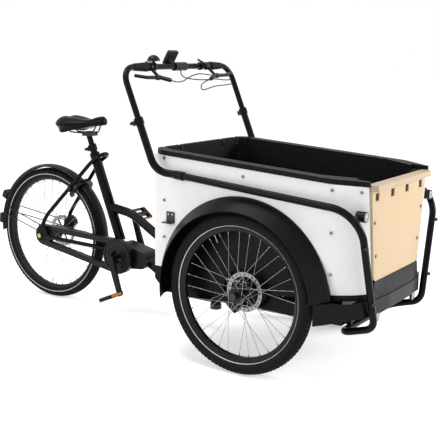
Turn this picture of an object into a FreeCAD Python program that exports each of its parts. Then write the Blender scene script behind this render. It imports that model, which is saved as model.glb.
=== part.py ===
import FreeCAD, Part
import math
import os
import re
from types import SimpleNamespace

import Sketcher
from FreeCAD import Placement, Rotation, Vector

# Cargo tricycle whose whole front carriage turns about a king pin behind the front axle.
# +X points forwards, +Y to the rider's left, +Z up. The origin is on the ground under the middle of the
# overall length. Places along X are given from the front axle, forwards positive.

SIZES = {
    # Wheels
    "wheelbase": 1362.0,
    "half_track": 394.0,
    "front_wheel_radius": 320.0,
    "rear_wheel_radius": 329.5,
    "front_tyre_section": 29.0,
    "rear_tyre_section": 25.9,
    "tyre_wall": 4.9,
    "front_tyre_seat_depth": 52.0,
    "rear_tyre_seat_depth": 45.5,
    "front_rim_depth": 17.5,
    "rear_rim_depth": 14.0,
    "rim_half_width": 16.5,
    "rim_base_half_width": 8.0,
    "rim_shoulder": 8.0,
    "rim_draft": 1.0,
    "rim_wall": 2.5,
    "spoke_count": 32.0,
    "spoke_radius": 1.0,
    "spoke_offset": 2.0,
    "spoke_cross": 67.5,
    "spoke_rim_offset": 2.5,
    "spoke_phase": 0.775,
    "flange_offset": 27.5,
    "flange_thickness": 3.0,
    "front_flange_radius": 30.0,
    "front_hub_radius": 17.0,
    "front_hub_reach": 36.0,
    "front_boss_radius": 22.0,
    "front_sleeve_radius": 14.0,
    "front_sleeve_reach": 4.0,
    "front_disc_offset": 48.0,
    "front_axle_radius": 10.0,
    "rear_flange_radius": 34.0,
    "rear_hub_radius": 22.0,
    "rear_hub_reach": 44.0,
    "rear_boss_radius": 22.0,
    "rear_sleeve_radius": 12.0,
    "rear_sleeve_reach": 5.0,
    "rear_disc_offset": 67.0,
    "rear_axle_radius": 6.0,
    "disc_radius": 80.0,
    "disc_band": 17.0,
    "disc_thickness": 2.0,
    "disc_arm_width": 9.0,
    "disc_arm_count": 6.0,
    "running_gap": 0.05,
    "seat_gap": 0.3,
    # Stub axles and front brakes
    "axle_flange_radius": 32.0,
    "axle_flange_thickness": 6.0,
    "axle_shoulder_radius": 16.0,
    "axle_nut_radius": 14.0,
    "axle_nut_length": 13.0,
    "caliper_inner": 60.0,
    "caliper_outer": 100.0,
    "caliper_half_length": 27.0,
    "caliper_half_depth": 14.0,
    "caliper_slot_gap": 0.5,
    "caliper_slot_end": 84.0,
    "caliper_corner": 5.0,
    "caliper_bracket": 6.0,
    "front_caliper_angle": 231.0,
    "rear_caliper_angle": 42.0,
    # Chassis under the tub
    "chassis_half_width": 312.0,
    "side_member_width": 40.0,
    "side_member_low": 245.0,
    "side_member_high": 305.0,
    "side_member_rear": 425.0,
    "side_member_front": 400.0,
    "chassis_wall": 3.0,
    "beam_height": 40.0,
    "steering_beam_length": 80.0,
    "front_beam_length": 40.0,
    "axle_beam_half": 24.0,
    "axle_web_half": 130.0,
    "tray_height": 11.0,
    "tray_thickness": 4.0,
    "tray_rear": 50.0,
    "tray_front": 352.0,
    "hanger_offset": 150.0,
    "hanger_width": 12.0,
    "hanger_half_length": 9.0,
    "nose_bracket_offset": 70.0,
    "nose_bracket_width": 24.0,
    "nose_bracket_height": 18.0,
    "battery_length": 280.0,
    "battery_half_width": 75.0,
    "battery_height": 72.0,
    "battery_rear": 62.0,
    "battery_corner": 10.0,
    # Steering head
    "steering_back": 370.0,
    "king_pin_radius": 15.0,
    "head_radius": 24.0,
    "head_bore": 20.0,
    "head_low": 124.0,
    "head_high": 300.0,
    "bush_length": 22.0,
    "king_nut_radius": 26.0,
    "king_nut_height": 20.0,
    # Cargo tub
    "tub_half_width": 306.0,
    "tub_rear": 452.0,
    "tub_front": 462.0,
    "tub_front_half_width": 236.0,
    "tub_taper_start": 290.0,
    "tub_wall": 5.0,
    "tub_rear_corner": 60.0,
    "tub_front_corner": 30.0,
    "rim_rear_height": 852.0,
    "rim_front_height": 791.0,
    "lip_thickness": 19.0,
    "lip_half_width": 354.0,
    "lip_rear": 462.0,
    "lip_front": 480.0,
    "lip_front_half_width": 292.0,
    "lip_taper_start": 352.0,
    "lip_corner": 70.0,
    "notch_near": 160.0,
    "notch_far": 268.0,
    "notch_half_width": 9.0,
    "notch_depth": 30.0,
    # Side panels
    "panel_half_width": 347.0,
    "panel_thickness": 5.0,
    "panel_rear": 446.0,
    "panel_low": 362.0,
    "panel_front": 476.0,
    "panel_top_curve_start": 330.0,
    "panel_top_front_half_width": 298.0,
    "panel_low_curve_start": 270.0,
    "panel_low_front_half_width": 222.0,
    # Wheel arches
    "arch_back": 20.0,
    "arch_height": 303.5,
    "arch_radius": 392.0,
    "arch_cut_radius": 385.0,
    "arch_wall": 4.0,
    "arch_lip_radius": 345.0,
    "arch_lip_reach": 425.0,
    "arch_flange": 6.0,
    "arch_shoulder": 14.0,
    "arch_liner": 318.0,
    "arch_liner_hole": 100.0,
    "arch_front_angle": 6.0,
    "arch_sweep": 182.0,
    "arch_tail_rear": 448.0,
    "arch_tail_front": 392.0,
    "arch_tail_low": 262.0,
    "arch_tail_depth": 15.0,
    "arch_tail_chamfer": 46.0,
    "arch_tail_corner": 12.0,
    # Front skirt, board and shelf
    "skirt_rear": 328.0,
    "skirt_rear_half_width": 408.0,
    "skirt_shoulder": 362.0,
    "skirt_shoulder_half_width": 388.0,
    "skirt_turn": 468.0,
    "skirt_turn_half_width": 286.0,
    "skirt_front": 490.0,
    "skirt_front_half_width": 222.0,
    "skirt_nose": 500.0,
    "skirt_nose_half_width": 100.0,
    "skirt_nose_round": 400.0,
    "skirt_high": 339.0,
    "skirt_front_low": 283.0,
    "skirt_rear_low": 254.0,
    "skirt_wall": 5.0,
    "skirt_corner": 60.0,
    "skirt_cap": 4.0,
    "apron_half_width": 214.0,
    "apron_depth": 26.0,
    "apron_lip": 3.0,
    "apron_setback": 4.0,
    "apron_high": 404.0,
    "board_back": 464.0,
    "board_thickness": 15.0,
    "board_low": 405.0,
    "board_high": 754.0,
    "board_top_half_width": 262.0,
    "board_low_half_width": 213.0,
    "board_corner": 25.0,
    "board_slot_near": 71.0,
    "board_slot_far": 213.0,
    "board_slot_width": 34.0,
    "board_slot_height": 30.0,
    "board_slot_top": 12.0,
    "shelf_depth": 46.0,
    "shelf_thickness": 22.0,
    "shelf_half_width": 278.0,
    "shelf_chamfer": 18.0,
    # Bumper rail
    "rail_radius": 14.0,
    "rail_wall": 2.0,
    "rail_rear": 325.0,
    "rail_half_width": 368.0,
    "rail_rear_height": 756.0,
    "rail_top_front": 487.0,
    "rail_top_front_half_width": 376.0,
    "rail_top_front_height": 690.0,
    "rail_front": 500.0,
    "rail_low_half_width": 236.0,
    "rail_low_height": 232.0,
    "rail_foot": 362.0,
    "rail_foot_height": 193.0,
    "rail_top_bend": 130.0,
    "rail_low_bend": 48.0,
    "rail_foot_bend": 45.0,
    "stud_radius": 7.0,
    "stud_length": 10.0,
    "stud_high": 560.0,
    "stud_low": 340.0,
    # Handlebar
    "bar_radius": 12.7,
    "bar_wall": 2.2,
    "bar_half_width": 395.0,
    "bar_rise": 410.0,
    "bar_back": 578.0,
    "bar_lean": 22.6,
    "bar_bend": 70.0,
    "bar_leg": 345.0,
    "stanchion_radius": 15.5,
    "stanchion_gap": 0.1,
    "stanchion_rise": 210.0,
    "stanchion_corner_height": 765.0,
    "stanchion_bend": 82.0,
    "stanchion_start": 20.0,
    "stanchion_start_bend": 55.0,
    "collar_wall": 3.5,
    "collar_length": 28.0,
    "joint_collar_length": 40.0,
    "joint_collar_wall": 2.5,
    "grip_inner": 234.0,
    "grip_outer": 322.0,
    "grip_inner_radius": 20.0,
    "grip_outer_radius": 15.0,
    "fit_gap": 0.2,
    # Quick release levers
    "lever_barrel_radius": 6.0,
    "lever_barrel_length": 11.4,
    "lever_pin_radius": 2.5,
    "lever_thickness": 4.0,
    "lever_reach": 26.0,
    "lever_ear": 3.7,
    "lever_web_half": 3.0,
    "lever_clearance": 1.5,
    # Brake levers, in the plane of the lever, from the bar's centre
    "control_tilt": 40.0,
    "brake_offset": 66.0,
    "perch_inner": 204.0,
    "perch_outer": 220.0,
    "perch_wall": 5.0,
    "perch_arm_inset": 3.0,
    "master_radius": 9.0,
    "master_outer": 214.0,
    "master_outer_offset": 63.0,
    "master_inner": 152.0,
    "master_inner_offset": 86.0,
    "brake_pivot": 225.0,
    "brake_eye_radius": 8.0,
    "brake_root_half_width": 7.0,
    "brake_half_thickness": 5.0,
    "brake_pin_radius": 3.0,
    "brake_tip": 360.0,
    "brake_tip_offset": 50.0,
    "brake_tip_half_width": 5.5,
    "brake_tip_corner": 5.0,
    "brake_bow": 6.0,
    "brake_bow_radius": 60.0,
    "brake_ear": 3.0,
    # Bell, display and shifter
    "bell_offset": 185.0,
    "bell_half_width": 7.0,
    "bell_radius": 28.0,
    "bell_height": 26.0,
    "bell_base": 24.0,
    "bell_wall": 2.0,
    "bell_post_radius": 5.0,
    "bell_lever_low": 18.4,
    "bell_lever_thickness": 4.0,
    "bell_lever_reach": 42.0,
    "bell_lever_half_width": 4.0,
    "display_offset": 27.0,
    "display_half_width": 35.0,
    "display_height": 66.0,
    "display_thickness": 12.0,
    "display_corner": 8.0,
    "display_tilt": 30.0,
    "display_pivot_back": 30.0,
    "display_pivot_height": 8.0,
    "display_pivot_radius": 6.0,
    "display_lug_half": 7.0,
    "display_face_gap": 2.0,
    "display_mount_half": 42.0,
    "display_mount_wall": 6.0,
    "shifter_offset": 160.0,
    "shifter_half_width": 8.0,
    "shifter_radius": 18.0,
    "shifter_forward": 20.0,
    "shifter_low": 14.0,
    "shifter_depth": 12.0,
    "shift_lever_thickness": 4.5,
    "shift_lever_eye": 9.0,
    "shift_lever_reach": 36.0,
    "shift_lever_side": 28.0,
    "shift_lever_width": 12.0,
    "hose_radius": 2.5,
    "hose_outlet": 14.0,
    "hose_lead_in": 62.0,
    "hose_sag": 5.0,
    "right_hose_drop": 45.0,
    "left_hose_drop": 83.0,
    "display_lead_drop": 63.0,
    # Front lamps and reflectors
    "lamp_radius": 20.0,
    "lamp_length": 36.0,
    "lamp_front": 486.0,
    "lamp_offset": 320.0,
    "lamp_height": 668.0,
    "lamp_arm": 14.0,
    "lamp_arm_inset": 4.0,
    "front_reflector_radius": 18.0,
    "front_reflector_offset": 178.0,
    "front_reflector_height": 264.0,
    "front_reflector_depth": 10.0,
    "front_reflector_stem": 6.0,
    "front_reflector_lap": 22.0,
    # Screws and side hooks
    "screw_head_radius": 6.0,
    "screw_head_height": 4.0,
    "screw_radius": 2.7,
    "screw_length": 8.0,
    "screw_rear": 398.0,
    "screw_rear_drop": 32.0,
    "screw_rear_middle": 643.0,
    "screw_rear_low": 490.0,
    "screw_front": 358.0,
    "screw_front_drop": 42.0,
    "screw_front_middle": 598.0,
    "screw_front_low": 440.0,
    "screw_nose": 455.0,
    "screw_nose_drop": 40.5,
    "screw_arch_drop": 50.0,
    "board_screw_high": 632.0,
    "board_screw_high_offset": 228.0,
    "board_screw_low": 503.0,
    "board_screw_low_offset": 205.0,
    "hook_back": 365.0,
    "hook_half_length": 20.0,
    "hook_foot_half_length": 30.0,
    "hook_low": 552.0,
    "hook_height": 46.0,
    "hook_thickness": 4.0,
    "hook_depth": 26.0,
    # Rear frame tubes
    "main_tube_radius": 21.0,
    "tube_wall": 2.0,
    "upper_tube_head_height": 207.0,
    "upper_tube_seat_height": 503.0,
    "upper_tube_bend_back": 850.0,
    "upper_tube_bend_height": 483.0,
    "upper_tube_bend": 220.0,
    "lower_tube_head_height": 150.0,
    "lower_tube_bend_back": 545.0,
    "lower_tube_bend": 120.0,
    "lower_tube_start_back": 800.0,
    "lower_tube_start_height": 287.0,
    "seat_tube_radius": 24.0,
    "seat_tube_foot_back": 921.0,
    "seat_tube_foot_height": 345.0,
    "seat_tube_lean": 21.5,
    "seat_tube_thick_length": 440.0,
    "seat_tube_length": 482.0,
    "seat_sleeve_radius": 17.0,
    "stay_radius": 9.5,
    "stay_wall": 1.5,
    "stay_foot_height": 372.0,
    "stay_knee_back": 1325.0,
    "stay_knee_half_width": 89.0,
    "stay_knee_height": 432.0,
    "stay_knee_bend": 200.0,
    "stay_neck_back": 1080.0,
    "stay_neck_height": 708.0,
    "stay_loop_back": 1016.0,
    "stay_loop_height": 754.0,
    "chain_stay_radius": 10.0,
    "chain_stay_front_back": 940.0,
    "chain_stay_front_half_width": 30.0,
    "chain_stay_front_height": 300.0,
    "chain_stay_knee_back": 1230.0,
    "chain_stay_knee_height": 326.0,
    "chain_stay_bend": 150.0,
    "dropout_offset": 92.0,
    "dropout_thickness": 6.0,
    "dropout_radius": 24.0,
    "dropout_corner": 14.0,
    "dropout_lobe_corner": 5.0,
    "stay_lobe_front": 22.0,
    "stay_lobe_rear": 8.0,
    "stay_lobe_rise": 14.0,
    "chain_lobe_half": 12.0,
    "stay_foot_forward": 8.0,
    "rear_nut_radius": 11.0,
    "rear_nut_length": 10.0,
    # Motor, cranks and chain
    "crank_back": 885.0,
    "crank_height": 283.0,
    "motor_radius": 60.0,
    "motor_nose_radius": 42.0,
    "motor_nose_back": 768.0,
    "motor_nose_height": 276.0,
    "motor_half_width": 47.7,
    "motor_wall": 8.0,
    "spindle_radius": 10.0,
    "crank_inner": 112.0,
    "crank_thickness": 14.0,
    "crank_length": 170.0,
    "crank_boss_radius": 17.0,
    "crank_tip_radius": 12.0,
    "crank_angle": 288.0,
    "pedal_spindle_radius": 6.0,
    "pedal_inner": 132.0,
    "pedal_width": 96.0,
    "pedal_half_length": 34.0,
    "pedal_half_height": 9.0,
    "pedal_window_wall": 3.0,
    "pedal_window_inset": 9.0,
    "right_pedal_tilt": 24.0,
    "left_pedal_tilt": -38.0,
    "chain_offset": 62.0,
    "chainring_pitch_radius": 68.8,
    "sprocket_pitch_radius": 36.6,
    "chain_half_thickness": 3.5,
    "chain_half_width": 3.0,
    "chain_gap": 0.4,
    "chainring_thickness": 3.0,
    "chainring_boss_radius": 26.0,
    "chainring_window_count": 5.0,
    "chainring_window_radius": 8.5,
    "chainring_window_spot": 44.0,
    "sprocket_boss_radius": 16.0,
    "drive_side_gap": 2.0,
    "case_margin": 14.0,
    "case_inner_margin": 12.0,
    "case_crank_gap": 4.0,
    "case_axle_gap": 8.0,
    "case_wall": 2.5,
    "case_half_width": 14.0,
    # Rear mudguard, lamp and lock
    "fender_radius": 349.0,
    "fender_edge_radius": 338.0,
    "fender_half_width": 30.0,
    "fender_thickness": 2.5,
    "fender_front_angle": -10.0,
    "fender_sweep": 194.0,
    "fender_stay_radius": 2.5,
    "fender_stay_inset": 2.0,
    "fender_stay_high": 161.0,
    "fender_stay_high_forward": 4.0,
    "fender_stay_high_rise": 48.5,
    "fender_stay_low": 168.0,
    "fender_stay_low_back": 14.0,
    "fender_stay_low_rise": 18.0,
    "lamp_angle": 153.0,
    "rear_lamp_reach": 380.0,
    "rear_lamp_half_width": 24.0,
    "rear_lamp_half_height": 20.0,
    "reflector_angle": 174.0,
    "reflector_depth": 24.0,
    "reflector_half_width": 22.0,
    "reflector_half_height": 26.0,
    "lock_angle": 51.4,
    "lock_centre": 306.0,
    "lock_inner": 46.0,
    "lock_outer": 64.0,
    "lock_half_depth": 9.0,
    "lock_opening": 100.0,
    "shackle_inner": 51.0,
    "shackle_outer": 58.0,
    "shackle_half_depth": 4.0,
    "shackle_sweep": 108.0,
    "lock_block": 14.0,
    "lock_block_rise": 4.0,
    "lock_lug_half": 12.0,
    "lock_lug_out": 10.0,
    "lock_lug_rise": 14.0,
    "lock_lap": 3.0,
    "key_angle": 8.0,
    "key_radius": 3.0,
    "key_shaft": 7.0,
    "key_head": 9.0,
    "key_head_length": 22.0,
    "key_thickness": 2.4,
    # Seat
    "post_radius": 13.6,
    "post_insert": 160.0,
    "post_spare": 30.0,
    "post_head_height": 836.0,
    "saddle_low": 866.0,
    "saddle_front_back": 1006.0,
    "saddle_length": 278.0,
    "saddle_half_width": 102.0,
    "saddle_crown": 923.5,
    "saddle_skirt_width": 16.0,
    "saddle_rail_bend": 30.0,
    "saddle_rail_rear_spread": 16.0,
    "saddle_rail_front_spread": 10.0,
    "saddle_rail_radius": 3.5,
    "saddle_rail_half_gap": 22.0,
    "saddle_rail_height": 849.0,
    "saddle_clamp_front_back": 1084.0,
    "saddle_clamp_length": 50.0,
    "saddle_clamp_half_width": 28.0,
    "saddle_clamp_height": 20.0,
}

document = FreeCAD.newDocument("cargo_tricycle")
sheet = document.addObject("Spreadsheet::Sheet", "sizes")
for row, (alias, number) in enumerate(SIZES.items(), start=1):
    sheet.set(f"A{row}", alias)
    sheet.set(f"B{row}", str(number))
    sheet.setAlias(f"B{row}", alias)
document.recompute()
s = SimpleNamespace(**{alias: float(sheet.get(alias)) for alias in SIZES})

# The rearmost point is the lower reflector and the foremost is the bumper rail.
FRONT_AXLE_X = "(wheelbase + fender_radius + reflector_depth - rail_front - rail_radius) / 2"
ACROSS = Vector(0, 1, 0)
UP = Vector(0, 0, 1)
ORIGIN = Vector(0, 0, 0)
nodes = []


# Binding sizes to the sheet

def sized(expression):
    """The expression with every size read from the sheet."""
    return re.sub(r"[a-z_]+", r"sizes.\g<0>", expression)


def bind(thing, prop, expression):
    thing.setExpression(prop, sized(expression))


def keep(thing, label):
    """Makes an object one of the named sub-parts."""
    thing.Label = label
    nodes.append(thing)
    return thing


def place(thing, x_from_axle="", y="", z=""):
    """Puts an object at a place given from the front axle, on the ground."""
    bind(thing, "Placement.Base.x", FRONT_AXLE_X + x_from_axle)
    if y:
        bind(thing, "Placement.Base.y", y)
    if z:
        bind(thing, "Placement.Base.z", z)


def formed(label, *solids):
    """A sub-part of one or more solids shaped in the front axle's frame."""
    thing = document.addObject("Part::Feature", label)
    thing.Shape = Part.makeCompound(list(solids))
    place(thing)
    return keep(thing, label)


# Shapes

def mirrored(shape):
    return shape.mirror(ORIGIN, ACROSS)


def both(shape):
    return [shape, mirrored(shape)]


def block(x_low, x_high, y_low, y_high, z_low, z_high):
    return Part.makeBox(x_high - x_low, y_high - y_low, z_high - z_low, Vector(x_low, y_low, z_low))


def rod(start, end, radius):
    return Part.makeCylinder(radius, (end - start).Length, start, end - start)


def ring(start, end, outer, inner):
    return rod(start, end, outer).cut(rod(start, end, inner))


def corner_arc(before, corner, after, radius):
    """Start, middle and end of the arc that rounds a corner."""
    back = (before - corner).normalize()
    ahead = (after - corner).normalize()
    half = back.getAngle(ahead) / 2
    inward = (back + ahead).normalize()
    reach = radius / math.tan(half)
    middle = corner + inward * (radius / math.sin(half) - radius)
    return corner + back * reach, middle, corner + ahead * reach


def path(points, radii):
    """Straight runs joined by tangent arcs."""
    edges = []
    start = points[0]
    for before, corner, after, radius in zip(points, points[1:], points[2:], radii):
        first, middle, last = corner_arc(before, corner, after, radius)
        edges.append(Part.LineSegment(start, first).toShape())
        edges.append(Part.Arc(first, middle, last).toShape())
        start = last
    edges.append(Part.LineSegment(start, points[-1]).toShape())
    return Part.Wire(edges)


def tube(points, radii, outer, inner=0.0):
    """A round tube along a path, solid where no inner radius is given."""
    wire = path(points, radii)

    def swept(radius):
        circle = Part.Wire([Part.makeCircle(radius, points[0], points[1] - points[0])])
        return wire.makePipeShell([circle], True, False)

    return swept(outer).cut(swept(inner)) if inner else swept(outer)


def outline(points, radii):
    """A closed outline with each corner rounded by its own radius, or left sharp at 0."""
    count = len(points)
    ends = []
    edges = []
    for index, radius in enumerate(radii):
        corner = points[index]
        if radius == 0:
            ends.append((corner, corner))
            continue
        first, middle, last = corner_arc(points[index - 1], corner, points[(index + 1) % count], radius)
        edges.append(Part.Arc(first, middle, last).toShape())
        ends.append((first, last))
    for index in range(count):
        edges.append(Part.LineSegment(ends[index][1], ends[(index + 1) % count][0]).toShape())
    return Part.Wire(Part.__sortEdges__(edges))


def plate(points, radii, thickness):
    """A flat plate of an outline, thick along a vector."""
    return Part.Face(outline(points, radii)).extrude(thickness)


def symmetric(points):
    """The points of a right half, followed by their mirror images in reverse order."""
    return points + [Vector(point.x, -point.y, point.z) for point in reversed(points)]


def belt(first, first_radius, second, second_radius, y_low, y_high):
    """The prism that a belt round two pulleys encloses, with its axis across."""
    start = Vector(first.x, y_low, first.z)
    end = Vector(second.x, y_low, second.z)
    wide = Vector(0, y_high - y_low, 0)
    along = end - start
    lean = math.asin((first_radius - second_radius) / along.Length)
    corners = []
    for turn in (1, -1):
        spin = Rotation(ACROSS, turn * (90 - math.degrees(lean)))
        normal = spin.multVec(along).normalize()
        corners.append((start + normal * first_radius, end + normal * second_radius))
    web = plate([corners[0][0], corners[0][1], corners[1][1], corners[1][0]], [0, 0, 0, 0], wide)
    drums = [Part.makeCylinder(first_radius, wide.y, start, ACROSS),
             Part.makeCylinder(second_radius, wide.y, end, ACROSS)]
    return web.fuse(drums).removeSplitter()


def turned(shape, origin, angle):
    """A shape drawn with X radial and Z tangential, put at an angle round an axle."""
    placed = shape.copy()
    placed.Placement = Placement(origin, Rotation(ACROSS, -angle))
    return placed


def swept_round(points, centre, first_angle, sweep):
    """Spins a section of (radius, across) points about an axle, upwards from the front."""
    corners = [centre + Vector(radius, across, 0) for radius, across in points]
    face = Part.Face(Part.makePolygon(corners + corners[:1]))
    face.rotate(centre, ACROSS, -first_angle)
    return face.revolve(centre, -ACROSS, sweep)


# Bodies drawn from sketches

def new_body(label):
    return keep(document.addObject("PartDesign::Body", label), label)


def new_sketch(body, name, role):
    sketch = body.newObject("Sketcher::SketchObject", name)
    plane = [feature for feature in body.Origin.OriginFeatures if feature.Role == role][0]
    sketch.AttachmentSupport = [(plane, "")]
    sketch.MapMode = "FlatFace"
    return sketch


def draw_polygon(sketch, corners):
    """A closed polygon whose corners are pairs of size expressions."""
    first = sketch.GeometryCount
    count = len(corners)
    for index in range(count):
        start = Rotation(UP, 360.0 * index / count).multVec(Vector(100, 0, 0))
        end = Rotation(UP, 360.0 * (index + 1) / count).multVec(Vector(100, 0, 0))
        sketch.addGeometry(Part.LineSegment(start, end))
    for index in range(count):
        following = first + (index + 1) % count
        sketch.addConstraint(Sketcher.Constraint("Coincident", first + index, 2, following, 1))
    for index, (across, along) in enumerate(corners):
        point = sketch.Geometry[first + index].StartPoint
        number = sketch.addConstraint(Sketcher.Constraint("DistanceX", -1, 1, first + index, 1, point.x))
        bind(sketch, f"Constraints[{number}]", across)
        number = sketch.addConstraint(Sketcher.Constraint("DistanceY", -1, 1, first + index, 1, point.y))
        bind(sketch, f"Constraints[{number}]", along)


def draw_circle(sketch, across, radius):
    """A circle centred on the sketch's horizontal axis."""
    number = sketch.addGeometry(Part.Circle(Vector(100, 0, 0), UP, 10))
    sketch.addConstraint(Sketcher.Constraint("PointOnObject", number, 3, -1))
    constraint = sketch.addConstraint(Sketcher.Constraint("DistanceX", -1, 1, number, 3, 100))
    bind(sketch, f"Constraints[{constraint}]", across)
    constraint = sketch.addConstraint(Sketcher.Constraint("Radius", number, 10))
    bind(sketch, f"Constraints[{constraint}]", radius)


def spin(body, sketch, kind="PartDesign::Revolution"):
    """Turns a sketch a full round about its vertical axis, which lies across the tricycle."""
    document.recompute()
    feature = body.newObject(kind, f"{kind[12:].lower()}_of_{sketch.Name}")
    feature.Profile = sketch
    feature.ReferenceAxis = (sketch, ["V_Axis"])
    feature.Angle = 360
    body.Tip = feature
    document.recompute()
    return feature


# Wheels

def tyre(label, end):
    body = new_body(label)
    radius, half = f"{end}_wheel_radius", f"{end}_tyre_section"
    section = new_sketch(body, f"{label}_section", "XY_Plane")
    draw_circle(section, f"{radius} - {half}", half)
    draw_circle(section, f"{radius} - {half}", f"{half} - tyre_wall")
    spin(body, section)
    seat = new_sketch(body, f"{label}_seat", "XY_Plane")
    bed = f"{radius} - {end}_tyre_seat_depth"
    bore = f"{radius} - {half} - {half} - {end}_rim_depth"
    draw_polygon(seat, [(bore, f"-{half}"), (bed, f"-{half}"), (bed, half), (bore, half)])
    spin(body, seat, "PartDesign::Groove")
    return body


def rim(label, end):
    """A hollow rim whose bed carries the tyre and whose sides slope in to the spokes."""
    body = new_body(label)
    section = new_sketch(body, f"{label}_section", "XY_Plane")
    bed = f"{end}_wheel_radius - {end}_tyre_seat_depth - seat_gap"
    shoulder = f"{bed} - rim_shoulder"
    base = f"{bed} - {end}_rim_depth"
    draw_polygon(section, [
        (bed, "-rim_half_width"), (bed, "rim_half_width"), (shoulder, "rim_half_width - rim_draft"),
        (base, "rim_base_half_width"), (base, "-rim_base_half_width"),
        (shoulder, "rim_draft - rim_half_width"),
    ])
    wide = "rim_half_width - rim_wall - rim_draft"
    narrow = "rim_base_half_width - rim_wall"
    high = f"{bed} - rim_wall"
    middle = f"{shoulder} + rim_wall / 2"
    low = f"{base} + rim_wall"
    draw_polygon(section, [
        (high, f"-({wide})"), (high, wide), (middle, wide), (low, narrow), (low, f"-({narrow})"),
        (middle, f"-({wide})"),
    ])
    spin(body, section)
    return body


def hub_shell(label, end):
    """A hub shell with two spoke flanges and a brake disc boss on its +Y side."""
    body = document.addObject("PartDesign::Body", f"{label}_shell")
    section = new_sketch(body, f"{label}_section", "XY_Plane")
    bore = f"{end}_axle_radius + running_gap"
    flange_in = "flange_offset - flange_thickness / 2"
    flange_out = "flange_offset + flange_thickness / 2"
    face = f"{end}_disc_offset - disc_thickness / 2"
    tip = f"{end}_disc_offset + {end}_sleeve_reach"
    draw_polygon(section, [
        (bore, f"-{end}_hub_reach"), (bore, tip),
        (f"{end}_sleeve_radius", tip), (f"{end}_sleeve_radius", face),
        (f"{end}_boss_radius", face), (f"{end}_boss_radius", flange_out),
        (f"{end}_flange_radius", flange_out), (f"{end}_flange_radius", flange_in),
        (f"{end}_hub_radius", flange_in), (f"{end}_hub_radius", f"-({flange_in})"),
        (f"{end}_flange_radius", f"-({flange_in})"), (f"{end}_flange_radius", f"-({flange_out})"),
        (f"{end}_hub_radius", f"-({flange_out})"), (f"{end}_hub_radius", f"-{end}_hub_reach"),
    ])
    spin(body, section)
    return body


def brake_disc(sleeve_radius, offset):
    """A thin disc: a braking band on arms that lean forwards from a centre ring."""
    low = Vector(0, offset - s.disc_thickness / 2, 0)
    high = Vector(0, offset + s.disc_thickness / 2, 0)
    centre = ring(low, high, sleeve_radius + s.disc_arm_width, sleeve_radius)
    band_inner = s.disc_radius - s.disc_band
    band = ring(low, high, s.disc_radius, band_inner)
    arms = []
    for index in range(int(s.disc_arm_count)):
        arm = block(sleeve_radius + s.disc_arm_width / 2, band_inner + s.disc_arm_width / 2, low.y, high.y,
                    -s.disc_arm_width / 2, s.disc_arm_width / 2)
        arm.rotate(ORIGIN, ACROSS, 360.0 * index / s.disc_arm_count)
        arms.append(arm)
    return centre.fuse([band] + arms).removeSplitter()


def hub(label, end):
    shell = hub_shell(label, end)
    disc = document.addObject("Part::Feature", f"{label}_disc")
    offset = s.front_disc_offset if end == "front" else s.rear_disc_offset
    sleeve = s.front_sleeve_radius if end == "front" else s.rear_sleeve_radius
    disc.Shape = brake_disc(sleeve, offset)
    assembly = document.addObject("Part::Compound", label)
    assembly.Links = [shell, disc]
    return keep(assembly, label)


def spokes(label, flange_radius, rim_base):
    """Crossed spokes, half from each flange, half leaning each way."""
    start_radius = flange_radius + s.seat_gap
    end_radius = rim_base - s.seat_gap
    pairs = int(s.spoke_count / 4)
    step = 180.0 / pairs
    wires = []
    for side in (1, -1):
        for pair in range(pairs):
            for lead in (1, -1):
                flange_angle = 2 * step * pair + (step / 2 if side < 0 else 0) + (0 if lead > 0 else step)
                rim_angle = flange_angle + lead * s.spoke_cross
                start = Rotation(ACROSS, -flange_angle - s.spoke_phase).multVec(Vector(start_radius, 0, 0))
                end = Rotation(ACROSS, -rim_angle - s.spoke_phase).multVec(Vector(end_radius, 0, 0))
                start.y = side * (s.flange_offset + lead * s.spoke_offset)
                end.y = side * s.spoke_rim_offset
                wires.append(rod(start, end, s.spoke_radius))
    thing = document.addObject("Part::Feature", label)
    thing.Shape = Part.makeCompound(wires)
    return keep(thing, label)


def wheel(name, end, x_from_axle, y, half_turn):
    if end == "front":
        flange = s.front_flange_radius
        rim_base = s.front_wheel_radius - s.front_tyre_seat_depth - s.front_rim_depth - s.seat_gap
    else:
        flange = s.rear_flange_radius
        rim_base = s.rear_wheel_radius - s.rear_tyre_seat_depth - s.rear_rim_depth - s.seat_gap
    pieces = [
        tyre(name.format("tyre"), end),
        rim(name.format("rim"), end),
        spokes(name.format("spokes"), flange, rim_base),
        hub(name.format("hub"), end),
    ]
    for piece in pieces:
        if half_turn:
            piece.Placement = Placement(ORIGIN, Rotation(UP, 180))
        place(piece, x_from_axle, y, f"{end}_wheel_radius")


wheel("front_{}_right", "front", "", "-half_track", False)
wheel("front_{}_left", "front", "", "half_track", True)
wheel("rear_{}", "rear", " - wheelbase", "", False)

front_axle = Vector(0, 0, s.front_wheel_radius)
rear_axle = Vector(-s.wheelbase, 0, s.rear_wheel_radius)
front_disc = s.half_track - s.front_disc_offset


# Stub axles and brakes

def caliper(y_low, y_high):
    """A brake caliper astride a disc in the plane y = 0, drawn with X radial and Z tangential."""
    slot = s.disc_thickness / 2 + s.caliper_slot_gap
    half = s.caliper_half_length
    body = block(s.caliper_inner, s.caliper_outer, y_low, y_high, -half, half)
    gap = block(0, s.caliper_slot_end, -slot, slot, -s.caliper_outer, s.caliper_outer)
    across = [edge for edge in body.Edges if abs(edge.tangentAt(edge.FirstParameter).y) > 0.9]
    return body.makeFillet(s.caliper_corner, across).cut(gap)


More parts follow.
